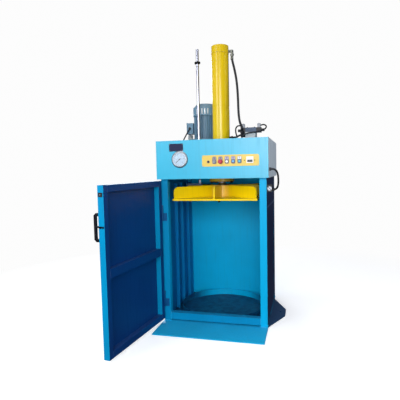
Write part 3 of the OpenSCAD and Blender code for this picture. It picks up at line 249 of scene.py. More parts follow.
def sprayed_enamel(name, code, rough, chip="#6d7176", dust=0.25, shine=0.32):
    """Air-dried enamel on steel: patchy spray, orange peel, chipped edges, dust on upward faces."""
    mat, tree, place = new_tree(name)
    body = linear(code)
    # clouds of about 250 mm where the spray lay thicker or thinner
    cloud = add_node(tree, "ShaderNodeTexNoise", {
        "Vector": place, "Scale": 4.0, "Detail": 3.0, "Roughness": 0.55})
    thin = add_node(tree, "ShaderNodeMix", {
        "Factor": cloud.outputs["Fac"], "A": toned(body, 0.86), "B": toned(body, 1.12)},
        data_type="RGBA")
    # upright streaks where water and hands have run down, 15 mm apart
    fall = add_node(tree, "ShaderNodeMapping", {"Vector": place, "Scale": (1.0, 1.0, 0.06)})
    streak = add_node(tree, "ShaderNodeTexNoise", {
        "Vector": fall.outputs[0], "Scale": 65.0, "Detail": 2.0})
    streaky = add_node(tree, "ShaderNodeMapRange", {
        "Value": streak.outputs["Fac"], "From Min": 0.52, "From Max": 0.8, "To Max": 0.22})
    grimy = add_node(tree, "ShaderNodeMix", {
        "Factor": streaky.outputs["Result"], "A": thin.outputs["Result"],
        "B": toned(body, 0.5, 0.006)}, data_type="RGBA")
    # dust settles on faces that look up
    skin = add_node(tree, "ShaderNodeNewGeometry")
    faces = add_node(tree, "ShaderNodeSeparateXYZ", {0: skin.outputs["Normal"]})
    speck = add_node(tree, "ShaderNodeTexNoise", {"Vector": place, "Scale": 22.0, "Detail": 5.0})
    lying = add_node(tree, "ShaderNodeMath", {
        0: faces.outputs["Z"], 1: speck.outputs["Fac"]}, operation="MULTIPLY", use_clamp=True)
    settled = add_node(tree, "ShaderNodeMath", {
        0: lying.outputs[0], 1: dust}, operation="MULTIPLY", use_clamp=True)
    dusty = add_node(tree, "ShaderNodeMix", {
        "Factor": settled.outputs[0], "A": grimy.outputs["Result"], "B": linear("#9a9c98")},
        data_type="RGBA")
    # paint knocked off along edges, 2 mm wide
    round_edge = add_node(tree, "ShaderNodeBevel", {"Radius": 0.002}, samples=4)
    flat = add_node(tree, "ShaderNodeVectorMath", {
        0: round_edge.outputs[0], 1: skin.outputs["Normal"]}, operation="DOT_PRODUCT")
    edge = add_node(tree, "ShaderNodeMapRange", {
        "Value": flat.outputs["Value"], "From Min": 0.97, "From Max": 0.86})
    nick = add_node(tree, "ShaderNodeTexNoise", {"Vector": place, "Scale": 60.0, "Detail": 4.0})
    nicked = add_node(tree, "ShaderNodeMapRange", {
        "Value": nick.outputs["Fac"], "From Min": 0.60, "From Max": 0.66, "To Max": 0.5})
    bare = add_node(tree, "ShaderNodeMath", {
        0: edge.outputs["Result"], 1: nicked.outputs["Result"]}, operation="MULTIPLY",
        use_clamp=True)
    worn = add_node(tree, "ShaderNodeMix", {
        "Factor": bare.outputs[0], "A": dusty.outputs["Result"], "B": linear(chip)},
        data_type="RGBA")
    # orange peel of 3 mm
    peel = add_node(tree, "ShaderNodeTexNoise", {"Vector": place, "Scale": 330.0, "Detail": 1.0})
    bump = add_node(tree, "ShaderNodeBump", {
        "Height": peel.outputs["Fac"], "Normal": round_edge.outputs[0], "Strength": 0.12,
        "Distance": 0.0004})
    dull = add_node(tree, "ShaderNodeMath", {
        0: settled.outputs[0], 1: streaky.outputs["Result"]}, operation="ADD", use_clamp=True)
    gloss = add_node(tree, "ShaderNodeMapRange", {
        "Value": dull.outputs[0], "To Min": rough, "To Max": min(rough + 0.45, 0.95)})
    coat = add_node(tree, "ShaderNodeBsdfPrincipled", {
        "Base Color": worn.outputs["Result"], "Roughness": gloss.outputs["Result"],
        "Normal": bump.outputs["Normal"], "IOR": 1.5, "Specular IOR Level": shine})
    add_node(tree, "ShaderNodeOutputMaterial", {"Surface": coat.outputs[0]})
    return mat


def tint_along(base, name, code, axis, low, high, most):
    """A copy of an enamel, tinted from low to high in m along X, Y or Z, or out from the ram.
    Used for stains and for painted light and shade.
    """
    mat = base.copy()
    mat.name = name
    tree = mat.node_tree
    coat = next(node for node in tree.nodes if node.type == "BSDF_PRINCIPLED")
    place = add_node(tree, "ShaderNodeTexCoord").outputs["Object"]
    if axis == "out":
        level = add_node(tree, "ShaderNodeVectorMath", {
            0: place, 1: (1.0, 1.0, 0.0)}, operation="MULTIPLY")
        span = add_node(tree, "ShaderNodeVectorMath", {0: level.outputs[0]}, operation="LENGTH")
        reach = span.outputs["Value"]
    else:
        reach = add_node(tree, "ShaderNodeSeparateXYZ", {0: place}).outputs[axis]
    near = add_node(tree, "ShaderNodeMapRange", {
        "Value": reach, "From Min": low, "From Max": high, "To Min": most, "To Max": 0.0})
    # blots of 50 mm
    blot = add_node(tree, "ShaderNodeTexNoise", {"Vector": place, "Scale": 18.0, "Detail": 4.0})
    spread = add_node(tree, "ShaderNodeMapRange", {
        "Value": blot.outputs["Fac"], "From Min": 0.25, "From Max": 0.6, "To Min": 0.75,
        "To Max": 1.0})
    tinted = add_node(tree, "ShaderNodeMath", {
        0: near.outputs["Result"], 1: spread.outputs["Result"]}, operation="MULTIPLY",
        use_clamp=True)
    clean = coat.inputs["Base Color"].links[0].from_socket
    tint = add_node(tree, "ShaderNodeMix", {
        "Factor": tinted.outputs[0], "A": clean, "B": linear(code)}, data_type="RGBA")
    tree.links.new(tint.outputs["Result"], coat.inputs["Base Color"])
    return mat


def paint(finish, *names):
    """Gives CAD nodes one finish all over."""
    for name in names:
        parts[name].data.materials.clear()
        parts[name].data.materials.append(finish)


def paint_faces(name, finish, chosen):
    """Gives a second finish to the faces of a CAD node that chosen(centre, normal) picks."""
    mesh = parts[name].data
    mesh.materials.append(finish)
    for face in mesh.polygons:
        if chosen(face.center, face.normal):
            face.material_index = len(mesh.materials) - 1


# where the coats and the painted shade change, in metres like the CAD nodes; other sizes are in mm
navy = "#1f2a4c"
chamber_front, ring_shade_full, ring_shade_end = -0.35, 0.20, 0.33
inner_x, sheet_x, post_y = 0.4225, 0.4246, 0.36
blue_enamel = sprayed_enamel("blue_gloss_enamel", "#02a4d6", 0.36, dust=0.08, shine=0.2)
side_shade_navy_enamel = sprayed_enamel("navy_satin_painted_shade_enamel", navy, 0.55, dust=0.06)
painted_shade_blue_enamel = sprayed_enamel("darker_blue_painted_shade_enamel", "#0280b0", 0.4, dust=0.05, shine=0.15)
wall_painted_shade_enamel = sprayed_enamel("deep_blue_wall_painted_shade_enamel", "#0278b8", 0.4, dust=0.05, shine=0.15)
# worn and partly painted shade: the floor inside the chamber in dark navy, for scuffed steel in
# shade
worn_and_shaded_floor = tint_along(blue_enamel, "scuffed_and_shaded_floor_enamel", "#163458", "Y",
                   chamber_front + 0.002, chamber_front - 0.002, 0.95)
# painted shade: the drip ring darker towards the front, from y 0.33 m to full at 0.20 m
shaded_ring = tint_along(blue_enamel, "ring_painted_shade_enamel", "#10345c", "Y", ring_shade_full, ring_shade_end, 0.97)
paint(blue_enamel, "posts", "back_wall")
# painted shadow: the sill in the darker blue, for the shadow of the open door
paint(painted_shade_blue_enamel, "sill")
# painted shade: the inner faces of the side walls in a deeper blue, for the shade in the chamber
paint(wall_painted_shade_enamel, "side_wall_l", "side_wall_r")
# painted shade: the side feet in deep blue, for the blue in shade on their faces
paint(sprayed_enamel("deep_blue_foot_painted_shade_enamel", "#123c64", 0.5, dust=0.05), "side_feet")
paint(worn_and_shaded_floor, "base_plate")
paint(shaded_ring, "drip_ring")
# painted shade: walls and posts in navy on their outer sides, for the blue in deep shade
for wall in ("side_wall_l", "side_wall_r", "posts"):
    paint_faces(wall, side_shade_navy_enamel, lambda at, out: abs(out.x) > 0.9 and abs(at.x) > inner_x)
# painted shadow: the front of the left front post in the darker blue, for the open door's shadow
paint_faces("posts", painted_shade_blue_enamel, lambda at, out: out.y < -0.9 and at.y < -0.4 and at.x < 0)
# painted shade: the navy runs round the corner of each post up to the sheet of the wall
for name, step in (("right_post_painted_shade_enamel", sheet_x), ("left_post_painted_shade_enamel", -sheet_x)):
    post_shade = tint_along(blue_enamel, name, navy, "X", step, step * 0.9995, 1.0)
    paint_faces("posts", post_shade,
                lambda at, out: abs(out.y) > 0.9 and abs(at.y) < post_y and at.x * step > 0)


def pick(*pieces):
    """Selects these pieces and nothing else, the first of them active."""
    bpy.ops.object.select_all(action="DESELECT")
    for piece in pieces:
        piece.select_set(True)
    bpy.context.view_layer.objects.active = pieces[0]


def settle(piece, name, body, finish):
    """Names a finished piece, leaves its place in its mesh and fixes it to what carries it."""
    pick(piece)
    bpy.ops.object.transform_apply(location=True, rotation=True, scale=True)
    bpy.ops.object.shade_smooth_by_angle(angle=math.radians(35))
    piece.name = name
    piece.data.name = name
    piece.data.materials.clear()
    piece.data.materials.append(finish)
    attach(piece, body)
    return piece


def join(pieces):
    """Joins pieces into the first of them, each with its place in the mesh."""
    pick(*pieces)
    bpy.ops.object.transform_apply(location=True, rotation=True, scale=True)
    bpy.ops.object.join()
    return bpy.context.object


def weld(runs, size):
    """Hand-laid fillet weld: overlapping ripples along each run from start to end, in mm."""
    beads = []
    ripple_length, pitch = 0.75, 0.8
    for start, end in runs:
        a, b = Vector(start) / 1000, Vector(end) / 1000
        bpy.ops.object.select_all(action="DESELECT")
        bpy.ops.mesh.primitive_uv_sphere_add(segments=6, ring_count=4, radius=size / 1000)
        bead = bpy.context.object
        bpy.ops.object.mode_set(mode="EDIT")
        bpy.ops.transform.resize(value=(ripple_length, 1.0, 1.0))
        bpy.ops.object.mode_set(mode="OBJECT")
        ripple = bead.modifiers.new("ripples", "ARRAY")
        ripple.fit_type = "FIT_LENGTH"
        ripple.fit_length = (b - a).length
        ripple.use_relative_offset = False
        ripple.use_constant_offset = True
        ripple.constant_offset_displace = (size / 1000 * pitch, 0, 0)
        bpy.ops.object.modifier_apply(modifier="ripples")
        turn = (b - a).to_track_quat("X", "Z").to_matrix().to_4x4()
        bead.matrix_world = Matrix.Translation(a) @ turn
        beads.append(bead)
    return join(beads)


post_feet = ((-430, -375, -405, -350), (375, 430, -405, -350),
             (-430, -392, 355, 410), (392, 430, 355, 410))
foot_z, sill_low, sill_high, sill_top, sill_front, sill_back = 9, 22, 75, 77, -405, -350
runs = []
for x0, x1, y0, y1 in post_feet:
    corners = [(x0, y0, foot_z), (x1, y0, foot_z), (x1, y1, foot_z), (x0, y1, foot_z)]
    runs += [(corners[0], corners[1]), (corners[3], corners[2]),
             (corners[0], corners[3]), (corners[1], corners[2])]
for x in (-375, 375):
    runs += [((x, sill_front, sill_low), (x, sill_front, sill_high)),
             ((x, sill_front + 2, sill_top), (x, sill_back - 2, sill_top)),
             ((x, sill_back, sill_low), (x, sill_back, sill_high))]
settle(weld(runs, 3.5), "cabinet_welds", "frame", blue_enamel)

# Joint of the upper and lower side sheets: a thin cover strip pressed into the wall on each side.
# It lies between the posts, about three quarters up, in navy rubbed paler than the painted shade
# of the sheets.


def start_block(middle, size):
    """A block to shape a piece from; middle and size in mm."""
    bpy.ops.object.select_all(action="DESELECT")
    bpy.ops.mesh.primitive_cube_add(size=1, location=Vector(middle) / 1000,
                                    scale=Vector(size) / 1000)
    bpy.ops.object.transform_apply(location=True, rotation=False, scale=True)
    return bpy.context.object


def round_edges(piece, width, segments):
    """Rounds the sharp edges of a piece; width in mm."""
    pick(piece)
    rounding = piece.modifiers.new("rounding", "BEVEL")
    rounding.width = width / 1000
    rounding.segments = segments
    rounding.limit_method = "ANGLE"
    bpy.ops.object.modifier_apply(modifier="rounding")
    return piece


rubbed_navy = sprayed_enamel("rubbed_navy_enamel", "#4d5b7c", 0.5, dust=0.1)
for x, name in ((-424.7, "left_seam"), (424.7, "right_seam")):
    strip = start_block((x, 2.5, 953), (2.2, 705, 10))
    settle(round_edges(strip, 0.9, 2), name, "frame", rubbed_navy)

# Head: folded sheet round the crown, its front in the blue of the cabinet, sides and rear in grey:
# a painted reflection of bright surroundings on the blue side sheets.
# The thick press plate closes it below, and a sheet plate on top carries the pump set.
paint(blue_enamel, "press_plate", "top_plate")
# the front is rubbed up and waxed, so it carries a whiter sheen than the cabinet
paint(sprayed_enamel("waxed_blue_enamel", "#02a6ca", 0.4, dust=0.08, shine=1.0), "head_front_panel")
# painted reflection: the sides in pale grey, for the bright sheen they catch
paint(sprayed_enamel("pale_grey_painted_reflection_enamel", "#deebf8", 0.4, dust=0.1), "head_shell")

# Blank nameplate: dark anodised sheet with a stepped rim, held by four rivets on the head.
# Nothing is written on it.


def anodised_sheet(name, code):
    """Dyed anodised aluminium: fine brushed grain under a clear hard skin."""
    mat, tree, place = new_tree(name)
    # rolling grain along the sheet, 1 mm apart
    along = add_node(tree, "ShaderNodeMapping", {"Vector": place, "Scale": (0.05, 1.0, 1.0)})
    grain = add_node(tree, "ShaderNodeTexNoise", {
        "Vector": along.outputs[0], "Scale": 900.0, "Detail": 2.0})
    body = linear(code)
    tint = add_node(tree, "ShaderNodeMix", {
        "Factor": grain.outputs["Fac"], "A": toned(body, 0.8), "B": toned(body, 1.2)},
        data_type="RGBA")
    rough = add_node(tree, "ShaderNodeMapRange", {
        "Value": grain.outputs["Fac"], "To Min": 0.28, "To Max": 0.45})
    bump = add_node(tree, "ShaderNodeBump", {
        "Height": grain.outputs["Fac"], "Strength": 0.05, "Distance": 0.0002})
    sheet = add_node(tree, "ShaderNodeBsdfPrincipled", {
        "Base Color": tint.outputs["Result"], "Metallic": 0.35,
        "Roughness": rough.outputs["Result"], "Normal": bump.outputs["Normal"]})
    add_node(tree, "ShaderNodeOutputMaterial", {"Surface": sheet.outputs[0]})
    return mat


def choose(piece, kind, wanted):
    """Puts the piece in edit mode with only the faces or edges that wanted(...) picks selected."""
    pick(piece)
    bpy.ops.object.mode_set(mode="EDIT")
    bpy.ops.mesh.select_mode(type=kind)
    bpy.ops.mesh.select_all(action="DESELECT")
    bpy.ops.object.mode_set(mode="OBJECT")
    for item in piece.data.polygons if kind == "FACE" else piece.data.edges:
        item.select = wanted(item)
    bpy.ops.object.mode_set(mode="EDIT")


def step_in(piece, wanted, *steps):
    """Steps the faces that wanted(face) picks inwards and out or back; (in, out) of each in mm."""
    choose(piece, "FACE", wanted)
    for inward, outward in steps:
        bpy.ops.mesh.inset(thickness=inward / 1000, depth=outward / 1000)
    bpy.ops.object.mode_set(mode="OBJECT")
    return piece


def looks_up(face):
    return face.normal.z > 0.9


def looks_front(face):
    return face.normal.y < -0.9


def flat_plate(low, high, corner, rim, sink):
    """Sheet plate between two corners in mm, facing -Y, with rounded corners and a stepped rim."""
    plate = start_block((Vector(low) + Vector(high)) / 2, Vector(high) - Vector(low))
    thick = (high[1] - low[1]) / 1000

    def crosses(edge):
        a, b = (plate.data.vertices[i].co.y for i in edge.vertices)
        return abs(a - b) > thick / 2

    choose(plate, "EDGE", crosses)
    bpy.ops.mesh.bevel(offset=corner / 1000, segments=4, affect="EDGES")
    bpy.ops.object.mode_set(mode="OBJECT")
    return step_in(plate, looks_front, (rim, 0), (sink, -sink))


def set_out(model, places):
    """Copies a modelled piece to each (point, facing) in mm, joins the copies and removes it."""
    made = []
    for point, facing in places:
        twin = model.copy()
        twin.data = model.data.copy()
        bpy.context.scene.collection.objects.link(twin)
        turn = Vector(facing).to_track_quat("Z", "Y").to_matrix().to_4x4()
        twin.matrix_world = Matrix.Translation(Vector(point) / 1000) @ turn
        made.append(twin)
    bpy.data.objects.remove(model)
    return join(made)


def start_cylinder(sides, radius, height, middle=(0, 0, 0), upright=True):
    """A cylinder to shape a piece from, on end or facing the operator; sizes and middle in mm."""
    bpy.ops.object.select_all(action="DESELECT")
    bpy.ops.mesh.primitive_cylinder_add(vertices=sides, radius=radius / 1000, depth=height / 1000,
                                        location=Vector(middle) / 1000,
                                        rotation=(0 if upright else math.radians(90), 0, 0))
    bpy.ops.object.transform_apply(location=True, rotation=True, scale=True)
    return bpy.context.object


def round_head(radius, height, dish):
    """Domed rivet or screw head on z = 0, its top dished for the drive if dish is not 0; in mm."""
    head = start_cylinder(20, radius, height / 2, (0, 0, height / 4))
    steps = [(radius * 0.14, height * 0.3), (radius * 0.30, height * 0.2)]
    if dish:
        steps += [(radius * 0.12, 0), (radius * 0.05, -dish)]
    return step_in(head, looks_up, *steps)


def drawn_steel(name, code, rough):
    """Turned or drawn bright steel: fine tool lines, thin oil film, duller where handled."""
    mat, tree, place = new_tree(name)
    # tool lines 0.8 mm apart, drawn coarser than they are so that they show
    lines = add_node(tree, "ShaderNodeTexNoise", {"Vector": place, "Scale": 700.0, "Detail": 2.0})
    film = add_node(tree, "ShaderNodeTexNoise", {"Vector": place, "Scale": 35.0, "Detail": 4.0})
    body = linear(code)
    tint = add_node(tree, "ShaderNodeMix", {
        "Factor": film.outputs["Fac"], "A": toned(body, 0.75), "B": body}, data_type="RGBA")
    dull = add_node(tree, "ShaderNodeMapRange", {
        "Value": film.outputs["Fac"], "To Min": rough * 0.8, "To Max": rough * 1.5})
    bump = add_node(tree, "ShaderNodeBump", {
        "Height": lines.outputs["Fac"], "Strength": 0.06, "Distance": 0.0002})
    metal = add_node(tree, "ShaderNodeBsdfPrincipled", {
        "Base Color": tint.outputs["Result"], "Metallic": 1.0, "Roughness": dull.outputs["Result"],
        "Normal": bump.outputs["Normal"]})
    add_node(tree, "ShaderNodeOutputMaterial", {"Surface": metal.outputs[0]})
    return mat


to_front, to_top = (0, -1, 0), (0, 0, 1)
head_face, name_face = -450, -451.6
navy_anodised = anodised_sheet("navy_anodised_sheet", "#121a40")
zinc_steel = drawn_steel("zinc_plated_steel", "#c3c7cb", 0.28)
nameplate = flat_plate((-338, name_face, 1417), (-221, head_face, 1478), 4, 3, 0.5)
settle(nameplate, "blank_nameplate", "frame", navy_anodised)
rivets = [((x, name_face, z), to_front) for x in (-332, -227) for z in (1423, 1472)]
settle(set_out(round_head(2.4, 1.4, 0), rivets), "nameplate_rivets", "frame", zinc_steel)

# Cylinder: thick seamless tube with a welded-on cap and flange, sprayed with yellow enamel.
# The flange under the press plate is browner and darker below 1.19 m, and a ring of hexagon bolts
# holds it.


def hard_chrome(name, code, rough):
    """Ground and hard-chromed rod: bright, with faint wiping marks along it."""
    mat, tree, place = new_tree(name)
    # wiping marks 2 mm apart, drawn out along the rod
    along = add_node(tree, "ShaderNodeMapping", {"Vector": place, "Scale": (1.0, 1.0, 0.02)})
    wipe = add_node(tree, "ShaderNodeTexNoise", {
        "Vector": along.outputs[0], "Scale": 420.0, "Detail": 2.0})
    haze = add_node(tree, "ShaderNodeMapRange", {
        "Value": wipe.outputs["Fac"], "To Min": rough, "To Max": rough * 2.2})
    bump = add_node(tree, "ShaderNodeBump", {
        "Height": wipe.outputs["Fac"], "Strength": 0.03, "Distance": 0.0001})
    metal = add_node(tree, "ShaderNodeBsdfPrincipled", {
        "Base Color": linear(code), "Metallic": 1.0, "Roughness": haze.outputs["Result"],
        "Normal": bump.outputs["Normal"]})
    add_node(tree, "ShaderNodeOutputMaterial", {"Surface": metal.outputs[0]})
    return mat


def around(middle, radius, turn):
    """The two coordinates of a point on a circle round middle; turn in degrees."""
    a = math.radians(turn)
    return middle[0] + radius * math.cos(a), middle[1] + radius * math.sin(a)


barrel_radius, cap_seam = 75.2, 2270
browner_low, browner_high = 1.19, 1.23  # m
barrel_enamel = sprayed_enamel("deep_yellow_gloss_enamel", "#d2b204", 0.25, chip="#8a8478",
                               dust=0.08, shine=0.5)
# browner and darker on the flange below 1.19 m, under the press plate
barrel_browner_below_enamel = tint_along(barrel_enamel, "yellow_enamel_browner_below", "#7a5a2a", "Z",
                    browner_low, browner_high, 0.7)
black_oxide = drawn_steel("black_oxide_steel", "#2b2c2f", 0.42)
paint(barrel_browner_below_enamel, "barrel")
paint(barrel_enamel, "cylinder_cap")
paint(zinc_steel, "rod_gland", "piston", "guide_bush", "pump")
paint(black_oxide, "flange_bolts")
paint(hard_chrome("hard_chromed_rod", "#c4c7d6", 0.21), "piston_rod", "guide_rod")
rim = [(*around((0, 0), barrel_radius, 7.5 * k), cap_seam) for k in range(49)]
settle(weld(list(zip(rim, rim[1:])), 2.6), "cap_weld", "frame", barrel_enamel)

# Platen: flat plate stiffened by eight ribs that run out from a hub, all welded and painted yellow.
# The hub is lighter and warmer: an oil stain from the rod and painted light in its shade; a black
# steel tip sits on the vent spike, and the guide rod stands on a flat bar.
hub_radius, rib_half, rib_reach, plate_z, rib_low, rib_high = 64.6, 6, 342, 1027, 1030, 1124
hub_tint_full, hub_tint_end, spike_top = 0.05, 0.12, 1.0125  # m
yellow_enamel = sprayed_enamel("yellow_gloss_enamel", "#edca06", 0.28, chip="#8a8478", dust=0.08)
# partly painted light: the hub lighter and warmer, an oil stain plus light where it lies in shade
paint(tint_along(yellow_enamel, "hub_stained_and_lit_yellow_enamel", "#ffd27c", "out", hub_tint_full, hub_tint_end,
            0.75), "platen")
paint_faces("platen", black_oxide, lambda at, out: at.z < spike_top)
paint(sprayed_enamel("slate_grey_enamel", "#5b6880", 0.45, dust=0.1), "guide_lug")
tip = step_in(start_cylinder(24, 9.5, 12, (0, -150, 991.5)), lambda face: face.normal.z < -0.9,
              (3, 3), (3, 2))
settle(tip, "spike_tip", "ram", black_oxide)
runs = []
for k in range(8):
    out = Vector((*around((0, 0), 1, 45 * k), 0))
    across = Vector((-out.y, out.x, 0)) * rib_half
    reach = rib_reach * (math.sqrt(2) if k % 2 else 1)
    for side in (-across, across):
        root, low, high = (side + Vector((0, 0, z)) for z in (plate_z, rib_low, rib_high))
        runs.append((root + out * (hub_radius + 1.4), root + out * reach))
        runs.append((low + out * hub_radius, high + out * hub_radius))
settle(weld(runs, 3.5), "platen_welds", "ram", yellow_enamel)

# Trip collar near the top of the guide rod: a turned ring split in two halves, in black oxide.
# A bolt on each side clamps it where the stroke has to end.
rod_x, collar_z = -205, 2211


def hex_bolt(corner, height):
    """Forged hexagon head with a chamfered top on a pressed washer; sizes in mm."""
    head = start_cylinder(6, corner, height * 0.8, (0, 0, 1.6 + height * 0.4))
    step_in(head, looks_up, (corner * 0.14, height * 0.2))
    return join([head, start_cylinder(24, corner * 1.2, 1.6, (0, 0, 0.8))])


collar = step_in(start_cylinder(40, 19, 17, (rod_x, 0, collar_z)),
                 lambda face: abs(face.normal.z) > 0.9, (1.5, 1.5))
clamps = set_out(hex_bolt(10.5, 6), [((rod_x + 17.5 * s, 0, collar_z), (s, 0, 0)) for s in (-1, 1)])
trip_collar = settle(join([collar, clamps]), "trip_collar", "ram", black_oxide)
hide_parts("guide_collar")

# Pump set: finned aluminium motor in machine grey, standing on a cast bell housing bolted to the
# top plate. A sheet cowl covers the fan, and a terminal box hangs on the left with its lid on four
# screws. The oil filler stands beside it.
motor, cowl_radius = (-195, 200), 110
motor_enamel = sprayed_enamel("machine_grey_enamel", "#5f7f94", 0.42, chip="#9aa0a2", dust=0.3)
light_enamel = sprayed_enamel("light_grey_enamel", "#a9aeae", 0.4, dust=0.2)
paint(motor_enamel, "bell_housing", "motor_body", "motor_cowl", "terminal_box", "oil_tank")
paint(zinc_steel, "motor_rotor")
paint(light_enamel, "oil_filler")


def on_cowl(turn, z):
    """A place on the motor's cowl, facing out: (point, facing)."""
    return (*around(motor, cowl_radius, turn), z), (*around((0, 0), 1, turn), 0)


quarters = (45, 135, 225, 315)
flange = [((*around(motor, 145, turn), 1538), to_top) for turn in quarters]
foot = [((motor[0] + x, motor[1] + y, 1515), to_top) for x in (-114, 114) for y in (-114, 114)]
settle(set_out(hex_bolt(8, 7), flange + foot), "pump_set_bolts", "frame", zinc_steel)
lid = [((-359.5, y, z), (-1, 0, 0)) for y in (152, 248) for z in (1611, 1697)]
cowl = [on_cowl(turn, 1775) for turn in quarters]
settle(set_out(round_head(4.5, 3.4, 1.2), lid + cowl), "cowl_and_lid_screws", "frame", zinc_steel)

# Louvres pressed out of the cowl to let the air in, on the side of the operator and opposite.
# They are in pale aluminium, a painted light for the light seen through the vents.
louvre = step_in(start_block((0, 0, 0), (12, 52, 3)), looks_up, (3, 2.2))
lips = [on_cowl(side + turn, 1802) for side in (-90, 90) for turn in (-28, -14, 0, 14, 28)]
# painted light: pale louvres, for the light that shows through the vents
settle(set_out(round_edges(louvre, 0.8, 2), lips), "cowl_louvres", "frame",
       anodised_sheet("pale_painted_light_aluminium_sheet", "#c9cdd0"))

# Filler cap of the tank: moulded, with grip ribs all round.
# It screws onto the neck by hand.
filler = (-364, 285)
grip = step_in(start_cylinder(8, 2.1, 36, (0, 0, 18)), lambda face: abs(face.normal.z) > 0.9,
               (0.8, 0.8))
ribs = [((*around(filler, 23, 18 * k), 1563), to_top) for k in range(20)]
settle(set_out(grip, ribs), "filler_grip", "frame", light_enamel)

# Valve: cast directional valve on a drilled block, with a moulded coil at each end and a plug on
# each coil. Four socket screws hold the valve, and steel fittings take the hoses.


def moulded_plastic(name, code, rough, grain=0.05):
    """Injection-moulded plastic: spark-eroded grain, soft highlights, faint handling marks."""
    mat, tree, place = new_tree(name)
    # mould grain of 0.6 mm, drawn coarser than it is so that it shows
    pits = add_node(tree, "ShaderNodeTexNoise", {"Vector": place, "Scale": 1100.0, "Detail": 1.0})
    touch = add_node(tree, "ShaderNodeTexNoise", {"Vector": place, "Scale": 45.0, "Detail": 3.0})
    body = linear(code)
    tint = add_node(tree, "ShaderNodeMix", {
        "Factor": touch.outputs["Fac"], "A": toned(body, 0.88), "B": toned(body, 1.1)},
        data_type="RGBA")
    sheen = add_node(tree, "ShaderNodeMapRange", {
        "Value": touch.outputs["Fac"], "To Min": rough * 0.85, "To Max": min(rough * 1.3, 1.0)})
    bump = add_node(tree, "ShaderNodeBump", {
        "Height": pits.outputs["Fac"], "Strength": grain, "Distance": 0.0003})
    shell = add_node(tree, "ShaderNodeBsdfPrincipled", {
        "Base Color": tint.outputs["Result"], "Roughness": sheen.outputs["Result"],
        "Normal": bump.outputs["Normal"], "IOR": 1.5})
    add_node(tree, "ShaderNodeOutputMaterial", {"Surface": shell.outputs[0]})
    return mat


black_nylon = moulded_plastic("black_glass_filled_nylon", "#1b1c20", 0.5, 0.12)
dull_zinc = drawn_steel("dull_zinc_plated_steel", "#8f9189", 0.42)
paint(light_enamel, "manifold")
paint(sprayed_enamel("valve_grey_enamel", "#46566c", 0.5, dust=0.1), "valve_body")
paint(black_nylon, "solenoids", "cable_glands")
paint(moulded_plastic("grey_plug_nylon", "#8d9199", 0.45), "coil_plugs")
paint(black_oxide, "hose_fittings")
paint_faces("hose_fittings", dull_zinc, lambda at, out: at.z > 2.0)
sockets = [((x, y, 1624), to_top) for x in (232, 293) for y in (3, 37)]
plugs = [((x, 20, 1657.1), to_top) for x in (194, 331)]
settle(set_out(round_head(4.5, 4.5, 2.5), sockets + plugs), "valve_screws", "frame", black_oxide)

# Crimped sleeves at the hose ends: steel, pressed in rings onto the rubber.
# They sit on the last stretch of each hose, against its fitting.


def crimp_sleeve(line, radius, length):
    """Turned sleeve round the start of a hose's line, with three pressed rings; sizes in mm."""
    sleeve = start_cylinder(24, radius, 4, (0, 0, 2))
    choose(sleeve, "FACE", looks_up)
    step = (length - 4) / 1000 / 9
    for width in (0.9, 1 / 0.9, 1.0) * 3:
        bpy.ops.mesh.extrude_region_move(TRANSFORM_OT_translate={"value": (0, 0, step)})
        bpy.ops.transform.resize(value=(width, width, 1.0))
    bpy.ops.object.mode_set(mode="OBJECT")
    turn = (line[1] - line[0]).to_track_quat("Z", "Y").to_matrix().to_4x4()
    sleeve.matrix_world = Matrix.Translation(line[0]) @ turn
    return sleeve


for name, line, radius, length, finish in (
        ("long_hose_top_sleeve", long_run, 12.5, 34, dull_zinc),
        ("long_hose_low_sleeve", long_run[::-1], 12, 24, black_oxide),
        ("short_hose_left_sleeve", short_run, 10.5, 18, black_oxide),
        ("short_hose_right_sleeve", short_run[::-1], 10.5, 22, black_oxide)):
    settle(crimp_sleeve(line, radius, length), name, "frame", finish)

# Door: a ladder of square steel tube behind a flat steel skin, with painted shade: a darker blue
# outside and deep navy inside.
# It swings on two lift-off hinges; a pull handle, a turn latch and a sprung catch close it.
swing = math.radians(97.2)
inward = Vector((math.sin(swing), math.cos(swing), 0))
edgeward = Vector((math.cos(swing), -math.sin(swing), 0))


def at_door(x, y, z):
    """A point of the door in mm, as hung: x from the hinge to the free edge, y in from the skin."""
    return Vector((-424, -415, z)) + edgeward * x + inward * y


door_shade_navy = sprayed_enamel("deep_navy_painted_shade_enamel", "#05346f", 0.42, dust=0.05)
# painted shade: the door in the darker blue, for the shade it stands in
paint(painted_shade_blue_enamel, "door_skin", "door_frame")
# painted shade: the hinges in dark blue, for the shade in and beside their knuckles
paint(sprayed_enamel("hinge_painted_shade_enamel", "#064a7c", 0.4, dust=0.05), "post_hinges", "door_hinges")
paint(black_oxide, "turn_latch")
paint(black_nylon, "edge_catch")
top_rail_z = 1.15  # m
# painted shade: faces turned inward, and upward faces below the top rail, in deep navy
for sheet in ("door_skin", "door_frame"):
    paint_faces(sheet, door_shade_navy, lambda at, out: out.dot(inward) > 0.9
                or (out.z > 0.9 and at.z < top_rail_z))
rails, stiles = ((30, 76), (568, 630), (1137, 1183)), (58, 768)
runs = [(at_door(x, 4, low + 4), at_door(x, 4, high - 4)) for low, high in rails for x in stiles]
settle(weld(runs, 2.6), "door_welds", "door", door_shade_navy)

